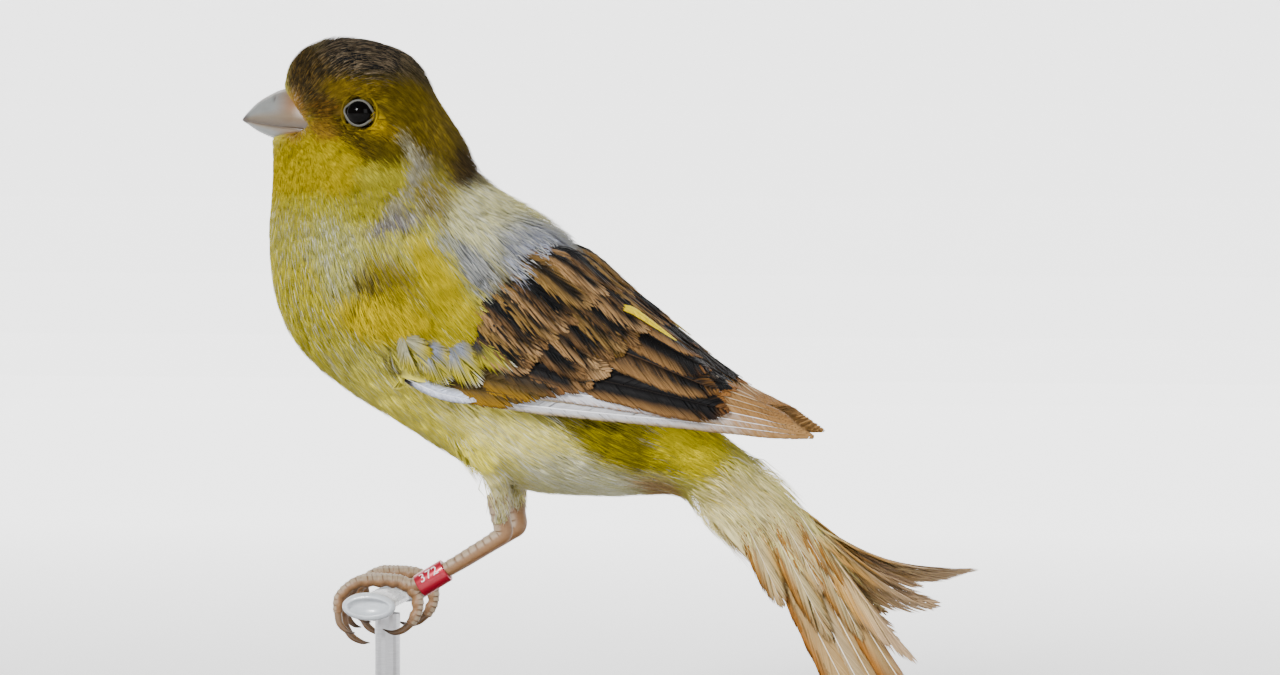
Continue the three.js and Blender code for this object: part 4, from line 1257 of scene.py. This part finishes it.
# long feathers over the roots of the tail's: angle, rise and share that each reaches
tailCoverts = [
    (-80, 0, 0.42), (-62, 0, 0.6), (-46, 0, 0.46), (-33, 0, 0.66), (-20, 1, 0.5), (-8, 3, 0.7),
    (4, 8, 0.56), (13, 18, 0.78), (20, 24, 0.62), (30, 22, 0.74), (40, 18, 0.6), (50, 14, 0.7),
    (62, 10, 0.5), (84, 3, 0.45),
]
covertLie = tailLie | {
    "outline": "blunt", "low": 2.2, "high": 2.2, "fray": 0.4, "slope": 6, "quill": 0.2, "tilt": 0,
    "lift": 0.2, "spacing": 0.18, "notched": 0.2, "loose": 0.12, "camber": 0.1,
}
vaneLooks["tail"] = {
    "centre": (160, 138, 102), "low": (130, 84, 30), "lowFrom": 0.5, "high": (156, 122, 74), "highFrom": 0.62,
    "tip": (132, 96, 60), "tipFrom": 0.9, "root": (196, 184, 120), "shaft": (250, 244, 230), "rough": 0.16,
}
vaneLooks["tailOchre"] = {
    "centre": (154, 126, 82), "low": (132, 84, 28), "lowFrom": 0.45, "high": (140, 100, 46), "highFrom": 0.5,
    "tip": (124, 86, 50), "tipFrom": 0.86, "root": (190, 174, 104), "shaft": (240, 228, 204), "rough": 0.18,
}
vaneLooks["longCovert"] = {
    "centre": (168, 150, 108), "low": (136, 92, 34), "lowFrom": 0.36, "high": (156, 124, 66),
    "tip": (150, 124, 84), "root": (204, 194, 128), "rootTo": 0.4, "shaft": (226, 216, 190),
    "rough": 0.2, "sway": 0.08,
}
vaneLooks["covertOlive"] = vaneLooks["longCovert"] | {"centre": (168, 158, 70), "low": (186, 172, 110)}
vaneLooks["splayed"] = {
    "centre": (192, 164, 118), "low": (166, 124, 62), "high": (178, 142, 88), "tip": (170, 142, 108),
    "tipFrom": 0.74, "root": (200, 184, 120), "rootTo": 0.4, "shaft": (206, 180, 144), "rough": 0.16,
}


def addTail():
    random = np.random.default_rng(77)
    plume = Plume("tail_vanes", 12 + len(tailCoverts))
    for side, rises in tail["rises"].items():
        for i, rise in reversed(list(enumerate(rises))):
            turn = side * (tail["firstTurn"] + tail["turnStep"] * i)
            look = "splayed" if rise > 3 else ("tail", "tailOchre")[i % 2]
            feather = tailLie | {
                "root": (0.02, turn * 0.72), "tip": (lerp(0.95, 1.0, i / 6), turn), "lift": -0.12 * i,
                "tilt": side * 0.24, "look": vaneLooks[look],
            }
            if rise > 3:
                reach = random.uniform(0.8, 0.88)
                feather |= {"low": 4.0, "high": 4.0, "outline": "blunt", "fray": 0.2, "tip": (reach, turn)}
            layVane(plume, tailPlace(rise), feather, random)
    for turn, rise, reach in tailCoverts:
        look = "splayed" if rise > 15 else ("covertOlive" if 3 < rise < 9 else "longCovert")
        feather = covertLie | {"root": (-0.02, turn * 0.8), "tip": (reach, turn), "look": vaneLooks[look]}
        layVane(plume, tailPlace(rise), feather, random)
    mesh = plume.mesh()
    print("tail", len(mesh.polygons), "faces")
    newPiece("tail_vanes", mesh, vaneFinish("tail feather"), ["tail"])


addTail()
print("wings and tail laid")

# Bill: the culmen, the keel and the half width at stations from the face to the tip

bill = {
    "x": (-9.5, -11, -14, -16.5, -18.5, -20.5, -22, -22.8, -23.1),
    "top": (80.1, 80.3, 80.4, 79.95, 79.1, 77.9, 76.5, 75.6, 75.15),
    "low": (71.5, 71.4, 71.5, 71.8, 72.4, 73.3, 74.3, 74.8, 75.05),
    "half": (5.6, 5.3, 4.7, 3.8, 2.95, 2, 1.1, 0.45, 0.06),
    "gape": ((-9.5, 73.3), (-23.1, 75.1)), "wave": 0.16, "parting": 0.09, "stations": 60, "sides": 30,
    "nostril": (-17.3, 2.3, 78.2), "nostrilSize": 0.42, "nostrilDeep": 0.3,
}
billTones = {
    # middle is the horn's own grey, and partly a painted highlight along each mandible's side
    "base": (122, 86, 50), "middle": (120, 123, 121), "edge": (114, 100, 80), "tip": (54, 48, 44),
    # mouth is painted shade along the seam between the mandibles; nostril is painted shade in the nostril's
    # pit
    "mouth": (60, 46, 36), "nostril": (40, 30, 26),
}


def billHalf(upper):
    table = curve(np.stack([bill[key] for key in ("x", "top", "low", "half")], 1), bill["stations"])
    (gapeX, gapeZ), (tipX, tipZ) = bill["gape"]
    turn = np.linspace(0, 2 * math.pi, bill["sides"], endpoint=False)
    rings, shares = [], []
    for x, top, low, half in table:
        share = (gapeX - x) / (gapeX - tipX)
        seam = lerp(gapeZ, tipZ, share) + bill["wave"] * math.sin(2 * math.pi * share) * (1 - share)
        parting = bill["parting"] * (1 - 0.6 * share)
        if upper:
            outer, inner, wide = top - seam - parting, 0.12 * (top - seam), half
        else:
            outer, inner, wide = low - seam + parting, 0.12 * (low - seam), half * 0.94
        up = np.maximum(np.sin(turn), 0) ** 0.9
        down = np.maximum(-np.sin(turn), 0)
        z = seam + (parting if upper else -parting) + outer * up - inner * down
        y = wide * np.sign(np.cos(turn)) * abs(np.cos(turn)) ** 0.92
        rings.append(np.stack([np.full(len(turn), x), y, z], 1))
        shares.append(np.stack([np.full(len(turn), share), up], 1))
    points, shares = np.concatenate(rings), np.concatenate(shares)
    # between the tan edges each mandible's middle stays grey: partly the horn's own colour, partly a painted
    # highlight
    colour = lerp(linear(billTones["base"]), linear(billTones["middle"]), smooth(shares[:, :1], 0.3, 0.62))
    colour = lerp(colour, linear(billTones["edge"]), 1 - smooth(shares[:, 1:], 0.12, 0.5))
    colour = lerp(colour, linear(billTones["edge"]), 0.7 * smooth(shares[:, 1:], 0.82, 1))
    colour = lerp(colour, linear(billTones["tip"]), smooth(shares[:, :1], 0.86, 1.0))
    # painted shade along the seam where the two mandibles meet
    colour = lerp(colour, linear(billTones["mouth"]), 0.8 * (1 - smooth(shares[:, 1:], 0.02, 0.12)))
    if upper:
        x, y, z = bill["nostril"]
        away = np.linalg.norm(points * (1, 0, 1) + abs(points) * (0, 1, 0) - (x, y, z), axis=1)
        pit = 1 - smooth(away, 0.3 * bill["nostrilSize"], bill["nostrilSize"])
        points[:, 1] -= np.sign(points[:, 1]) * pit * bill["nostrilDeep"]
        # painted shade in the nostril's pit
        colour = lerp(colour, linear(billTones["nostril"]), pit[:, None])
    bm = bmesh.new()
    loft(bm, points.reshape(bill["stations"], bill["sides"], 3))
    return finishedMesh(bm, "bill", colour)


def billFinish():
    finish = Finish("bill horn", Roughness=0.34)
    finish.set("Coat Weight", 0.25)
    finish.set("Coat Roughness", 0.25)
    finish.set("Subsurface Weight", 0.06)
    finish.set("Subsurface Radius", (0.001, 0.0008, 0.0006))
    grain = finish.noise(900, 4, 0.6, (0.2, 1, 1), (0, math.radians(-10), 0))
    finish.setMarks(grain, (0.72, 0.7, 0.7))
    finish.set("Normal", finish.bump(grain, 0.00006, 0.4))
    return finish


hornFinish = billFinish()
newPiece("bill_upper_horn", billHalf(True), hornFinish, ["bill_upper"])
newPiece("bill_lower_horn", billHalf(False), hornFinish, ["bill_lower"])

# Eyes: a glossy ball behind a pale ring of lid, drawn out to a point in front and behind

lids = {"reach": 1.95, "thick": 0.27, "flat": 0.6, "canthus": 0.42, "turn": -12, "steps": 56, "sides": 14,
        "tone": (70, 69, 60), "inner": (16, 14, 12), "y": 1.25}


def eyeFinish():
    finish = Finish("eye", Roughness=0.05)
    finish.set("Specular IOR Level", 0.06)
    finish.set("Base Color", finish.mix(finish.noise(600, 3), rgba((2, 2, 2)), rgba((8, 6, 5))))
    return finish


def lidFinish():
    finish = Finish("eyelid", Roughness=0.55)
    grain = finish.noise(2600, 3, 0.7)
    finish.setMarks(grain, (0.7, 0.68, 0.62))
    finish.set("Normal", finish.bump(grain, 0.00012, 0.5))
    return finish


def lidMesh(side):
    x, y, z = eyeball["at"]
    rings, colours = [], []
    section = np.linspace(0, 2 * math.pi, lids["sides"], endpoint=False)
    for turn in np.linspace(0, 2 * math.pi, lids["steps"], endpoint=False):
        point = abs(math.cos(turn)) ** 14
        reach = lids["reach"] + lids["canthus"] * point
        thick = lids["thick"] * (1 - 0.35 * point) * (1 + 0.05 * math.sin(turn * 23))
        lean = turn + math.radians(lids["turn"])
        away = reach + thick * np.cos(section)
        out = y + lids["y"] - 0.25 * point + thick * lids["flat"] * np.sin(section)
        spots = [x + away * math.cos(lean), side * out, z + 0.97 * away * math.sin(lean)]
        rings.append(np.stack(spots, 1))
        inward = smooth(-np.cos(section), 0.1, 0.9)[:, None]
        colours.append(lerp(linear(lids["tone"]), linear(lids["inner"]), inward))
    bm = bmesh.new()
    loft(bm, rings, closes=True)
    return finishedMesh(bm, "lid", np.concatenate(colours))


def ballMesh(side):
    x, y, z = eyeball["at"]
    bm = bmesh.new()
    turn = Matrix.Translation(Vector(toFrame((x, side * y, z)))) @ Matrix.Rotation(math.pi / 2, 4, "X")
    bmesh.ops.create_uvsphere(bm, u_segments=48, v_segments=32, radius=eyeball["radius"] * mm, matrix=turn)
    return meshFrom(bm, "eyeball")


gloss, lidSkin = eyeFinish(), lidFinish()
for name, side in (("left", -1), ("right", 1)):
    newPiece("eyeball_" + name, ballMesh(side), gloss, ["eye_" + name])
    newPiece("eyelid_" + name, lidMesh(side), lidSkin)
print("bill and eyes made")

# Legs and feet: scaly limbs along smooth lines, seen from the side, and horn claws

leg = {
    "side": 6.6, "spread": 3.3, "from": 5.4,
    # x, outward from the side, z, radius, from inside the thigh over the heel to the foot
    "path": ((18.9, 1.2, 17, 1.7), (19.4, 0.5, 13.2, 1.5), (19.7, 0.05, 11, 1.42), (18.3, 0, 9.8, 1.28),
             (15, 0, 7.75, 1.2), (11, 0, 5.3, 1.15), (7.4, 0, 3.3, 1.12), (5.2, 0, 2.5, 1.15),
             (3, 0, 3, 0.9)),
    "pitch": 1.35, "scute": 0.11, "sides": 20, "steps": 150,
}
toes = [
    {"name": "middle", "spread": 0, "reach": 12, "front": 1, "root": (5.2, 2.4),
     "path": ((3, 3.3), (0, 3.45), (-3.3, 3.1), (-5.7, 1), (-6.1, -1.6), (-5.5, -3.8)),
     "claw": ((-4.4, -5.5), (-2.8, -6.4), (-1.5, -6.5))},
    {"name": "inner", "spread": 1, "reach": 12, "front": 1, "root": (5.2, 2.4),
     "path": ((3, 3.2), (0, 3.4), (-3, 3.15), (-5.5, 1.1), (-5.9, -1)),
     "claw": ((-5.7, -2.9), (-4.6, -4.1), (-3.4, -4.4))},
    {"name": "outer", "spread": -1, "reach": 12, "front": 1, "root": (5.2, 2.4),
     "path": ((3, 3.2), (0, 3.4), (-3.2, 3.1), (-5.6, 1), (-5.9, -1.4)),
     "claw": ((-5.6, -3.2), (-4.5, -4.4), (-3.3, -4.7))},
    {"name": "hind", "spread": 0.2, "reach": 6, "front": -1, "root": (5.0, 2.6),
     "path": ((6.1, 0.6), (6, -1.6), (5, -3.4)), "claw": ((3.6, -4.5), (2, -4.9), (0.4, -4.4))},
]
toeLook = {
    "taper": (1.12, 0.98, 0.86), "radius": 0.86, "pitch": 0.8, "scute": 0.15, "pad": 0.3, "sides": 16,
    "claw": (0.62, 0.55, 0.36, 0.06),
}
legTones = {
    "scute": (166, 150, 126), "gap": (104, 78, 52), "sole": (140, 106, 70), "claw": (118, 90, 60),
    "clawTip": (60, 46, 34),
}


def limb(path, side, sides, front, pitch, scute, pad):
    # rings round a path of x, outward, z and radius, with overlapping scutes in front and pads behind
    centre = np.stack([path[:, 0], side * path[:, 1], path[:, 2]], 1)
    forward = unit(np.gradient(centre, axis=0))
    across = unit(np.array([0, 1.0, 0]) - forward * forward[:, 1:2])
    dorsal = np.cross(across, forward) * front
    gone = np.concatenate([[0], np.cumsum(np.linalg.norm(np.diff(centre, axis=0), axis=1))])
    turn = np.linspace(0, 2 * math.pi, sides, endpoint=False)
    fore = smooth(np.sin(turn), -0.1, 0.5)[None]
    tooth = (gone / pitch % 1)[:, None]
    swell = np.sin(gone / pitch / 2.6 * math.pi)[:, None] ** 2
    radius = path[:, 3:4] * (1 + scute * fore * tooth ** 2 + pad * (1 - fore) * swell)
    around = np.cos(turn)[:, None] * across[:, None] + np.sin(turn)[:, None] * dorsal[:, None]
    colour = lerp(linear(legTones["gap"]), linear(legTones["scute"]), smooth(tooth, 0.03, 0.35)[..., None])
    colour = lerp(linear(legTones["sole"]), colour, (fore * np.ones_like(tooth))[..., None])
    return centre[:, None] + radius[..., None] * around, colour.reshape(-1, 3)


def toePath(toe, points):
    # places seen from the side as x, outward, z, with the toes spread sideways from their root
    points = np.array(points)
    away = smooth(abs(points[:, 0] - leg["from"]), 0, toe["reach"])
    return np.stack([points[:, 0], leg["side"] - toe["spread"] * leg["spread"] * away, points[:, 1]], 1)


def footMesh(side):
    bm = bmesh.new()
    path = curve(leg["path"], leg["steps"]) + np.array([0, leg["side"], 0, 0])
    rings, colours = limb(path, side, leg["sides"], 1, leg["pitch"], leg["scute"], 0)
    loft(bm, rings)
    tones = [colours]
    for toe in toes:
        spots = toePath(toe, (toe["root"], *toe["path"]))
        size = np.interp(np.linspace(0, 1, len(spots)), (0, 0.5, 1), toeLook["taper"]) * toeLook["radius"]
        path = curve(np.concatenate([spots, size[:, None]], 1), 16 * len(spots))
        rings, colours = limb(path, side, toeLook["sides"], toe["front"], toeLook["pitch"], toeLook["scute"],
                              toeLook["pad"])
        rings = np.concatenate([rings, toeEnd(rings)])
        loft(bm, rings)
        tones.append(np.concatenate([colours, colours[-toeLook["sides"]:]]))
    return finishedMesh(bm, "foot", np.concatenate(tones))


def toeEnd(rings):
    # a small last ring that rounds a toe off
    last, before = rings[-1], rings[-2]
    onward = unit(last.mean(0) - before.mean(0)) * 0.25
    return (last.mean(0) + (last - last.mean(0)) * 0.6 + onward)[None]


def clawMesh(side):
    bm = bmesh.new()
    tones = []
    for toe in toes:
        spots = toePath(toe, (toe["path"][-1], *toe["claw"]))
        path = curve(np.concatenate([spots, np.array(toeLook["claw"])[:, None]], 1), 26)
        rings, _ = limb(path, side, 14, toe["front"], 1, 0, 0)
        loft(bm, rings)
        share = np.repeat(np.linspace(0, 1, 26), 14)[:, None]
        tones.append(lerp(linear(legTones["claw"]), linear(legTones["clawTip"]), smooth(share, 0.35, 1)))
    return finishedMesh(bm, "claws", np.concatenate(tones))


def scaleFinish():
    finish = Finish("leg scale", Roughness=0.48)
    finish.set("Subsurface Weight", 0.08)
    finish.set("Subsurface Radius", (0.0015, 0.0006, 0.0003))
    grain = finish.noise(2200, 4, 0.65)
    finish.setMarks(grain, (0.72, 0.62, 0.56))
    finish.set("Normal", finish.bump(grain, 0.00012, 0.6))
    return finish


def clawFinish():
    finish = Finish("claw horn", Roughness=0.32)
    finish.set("Coat Weight", 0.2)
    finish.setMarks(finish.noise(1500, 3), (0.75, 0.7, 0.66))
    return finish


scales, claws = scaleFinish(), clawFinish()
for name, side in (("left", -1), ("right", 1)):
    newPiece("leg_skin_" + name, footMesh(side), scales, ["shank_" + name, "foot_" + name])
    newPiece("claws_" + name, clawMesh(side), claws)

# The leg ring: a rounded band round the left shank, with plain numbers along it

band = {
    "heel": (20.1, 10.9), "foot": (6.0, 2.2), "along": 0.82, "inner": 1.42, "outer": 1.84, "length": 5,
    "round": 0.12, "steps": 72, "text": "372", "letter": 2.1, "thick": 0.05, "turn": 62,
}


def bandPlace(along, turn, radius):
    # along from the ring's middle toward the foot, turn round the shank from its front
    heel, foot = np.array(band["heel"]), np.array(band["foot"])
    axis = unit(foot - heel)
    centre = lerp(heel, foot, band["along"])
    front = np.array([axis[1], -axis[0]])
    flat = centre + axis * np.asarray(along)[..., None] + front * (radius * np.cos(turn))[..., None]
    return np.stack([flat[..., 0], -leg["side"] - radius * np.sin(turn), flat[..., 1]], -1)


def bandMesh():
    half, edge = band["length"] / 2, band["round"]
    corners = [(-half + edge, band["outer"] - edge, 180, 90), (half - edge, band["outer"] - edge, 90, 0),
               (half - edge, band["inner"] + edge, 0, -90), (-half + edge, band["inner"] + edge, -90, -180)]
    turn = np.linspace(0, 2 * math.pi, band["steps"], endpoint=False)
    rings = []
    for along, radius, start, end in corners:
        for lean in np.radians(np.linspace(start, end, 5)):
            out = np.full(len(turn), radius + edge * math.sin(lean))
            rings.append(bandPlace(np.full(len(turn), along + edge * math.cos(lean)), turn, out))
    bm = bmesh.new()
    loft(bm, rings, closes=True)
    return finishedMesh(bm, "band")


def numberMesh():
    # flat letters cut into strips and laid round the band
    words = bpy.data.curves.new("numbers", "FONT")
    words.body = band["text"]
    words.size = band["letter"]
    words.align_x = "CENTER"
    words.align_y = "CENTER"
    words.extrude = band["thick"] / 2
    words.space_character = 1.08
    writing = bpy.data.objects.new("numbers", words)
    scene.collection.objects.link(writing)
    ready = writing.evaluated_get(bpy.context.evaluated_depsgraph_get())
    bm = bmesh.new()
    flat = bpy.data.meshes.new_from_object(ready)
    bm.from_mesh(flat)
    bpy.data.objects.remove(writing)
    bpy.data.curves.remove(words)
    bmesh.ops.remove_doubles(bm, verts=bm.verts, dist=1e-4)
    for height in np.arange(-1.2, 1.21, 0.15):
        bmesh.ops.bisect_plane(bm, geom=bm.verts[:] + bm.edges[:] + bm.faces[:], dist=1e-5,
                               plane_co=(0, height, 0), plane_no=(0, 1, 0))
    spots = np.array([v.co[:] for v in bm.verts])
    radius = band["outer"] + band["thick"] / 2 + spots[:, 2] - 0.01
    turn = math.radians(band["turn"]) - spots[:, 1] / band["outer"]
    for v, spot in zip(bm.verts, toFrame(bandPlace(-spots[:, 0], turn, radius))):
        v.co = Vector(spot)
    return finishedMesh(bm, "numbers")


def bandFinish():
    finish = Finish("red band", Roughness=0.36, Metallic=0.35)
    finish.set("Coat Weight", 0.4)
    finish.set("Base Color", finish.mix(finish.noise(1800, 4, 0.7), rgba((176, 8, 44)), rgba((138, 6, 32))))
    return finish


def numberFinish():
    finish = Finish("pale numbers", Roughness=0.5)
    wear = finish.noise(3000, 4, 0.7)
    finish.set("Base Color", finish.mix(wear, rgba((238, 232, 232)), rgba((206, 180, 184))))
    return finish


newPiece("leg_band", bandMesh(), bandFinish(), ["leg_ring"])
newPiece("leg_band_numbers", numberMesh(), numberFinish(), smoothShade=False)
print("legs, feet and ring made")

# The stand: an oval plastic rail, a brushed rod and a dark wooden base

rail = {"wide": 8.4, "high": 4.4, "length": 31, "round": 0.9, "sides": 64}


def railMesh():
    turn = np.linspace(0, 2 * math.pi, rail["sides"], endpoint=False)
    rings = []
    for end in (-1, 1):
        for lean in np.linspace(0, math.pi / 2, 7)[::end]:
            inset = rail["round"] * (1 - math.sin(lean))
            y = end * (rail["length"] / 2 - rail["round"] * (1 - math.cos(lean)))
            x = (rail["wide"] / 2 - inset) * np.cos(turn)
            z = (rail["high"] / 2 - inset) * np.sin(turn)
            rings.append(np.stack([x, np.full(len(turn), y), z], 1))
    bm = bmesh.new()
    loft(bm, rings)
    return finishedMesh(bm, "rail")


def plasticFinish():
    finish = Finish("rail plastic", Roughness=0.28)
    finish.set("Coat Weight", 0.3)
    finish.set("Subsurface Weight", 0.15)
    finish.set("Subsurface Radius", (0.003, 0.003, 0.003))
    scuffs = finish.noise(220, 5, 0.7, (6, 0.4, 1))
    finish.set("Base Color", finish.mix(scuffs, rgba((206, 210, 214)), rgba((170, 176, 182))))
    finish.set("Roughness", scuffs * 0.25 + 0.16)
    return finish


def rodFinish():
    finish = Finish("rod steel", Metallic=1.0)
    brushed = finish.noise(500, 4, 0.6, (1, 1, 22))
    finish.set("Base Color", finish.mix(brushed, rgba((214, 214, 216)), rgba((160, 160, 164))))
    finish.set("Roughness", brushed * 0.25 + 0.2)
    return finish


def woodFinish():
    finish = Finish("base wood", Roughness=0.42)
    finish.set("Coat Weight", 0.25)
    finish.set("Coat Roughness", 0.3)
    bands = finish.noise(26, 3, 0.5, (0.25, 3, 3))
    grain = finish.noise(420, 4, 0.6, (0.05, 1, 1))
    stops = [(0.3, rgba((58, 38, 26))), (0.55, rgba((84, 56, 38))), (0.7, rgba((46, 30, 22)))]
    tone = finish.add("ShaderNodeValToRGB", {"stops": stops}, {"Fac": bands})
    finish.set("Base Color", finish.mix(grain * 0.7, tone, rgba((30, 20, 14))))
    finish.set("Normal", finish.bump(grain, 0.0002, 0.5))
    return finish


baseEdge = {"corner": 14, "top": 0.8}


def baseMesh():
    low, high = (Vector(c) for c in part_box("stand_base"))
    bm = bmesh.new()
    place = Matrix.Translation((low + high) / 2) @ Matrix.Diagonal((*(high - low), 1))
    bmesh.ops.create_cube(bm, size=1, matrix=place)
    upright = [e for e in bm.edges if abs((e.verts[0].co - e.verts[1].co).z) > 1e-4]
    bmesh.ops.bevel(bm, geom=upright, offset=baseEdge["corner"] * mm, affect="EDGES", segments=12,
                    profile=0.5, material=-1)
    rim = [e for e in bm.edges if min(v.co.z for v in e.verts) > high.z - 1e-5]
    bmesh.ops.bevel(bm, geom=rim, offset=baseEdge["top"] * mm, affect="EDGES", segments=5,
                    profile=0.5, material=-1)
    return finishedMesh(bm, "base")


newPiece("rail", railMesh(), plasticFinish(), ["stand_perch"])
newPiece("base", baseMesh(), woodFinish(), ["stand_base"], smoothShade=False)
steel = rodFinish()
rod = nodes["stand_rod"]
rod.data.materials.clear()
rod.data.materials.append(steel.material)
print("stand made")
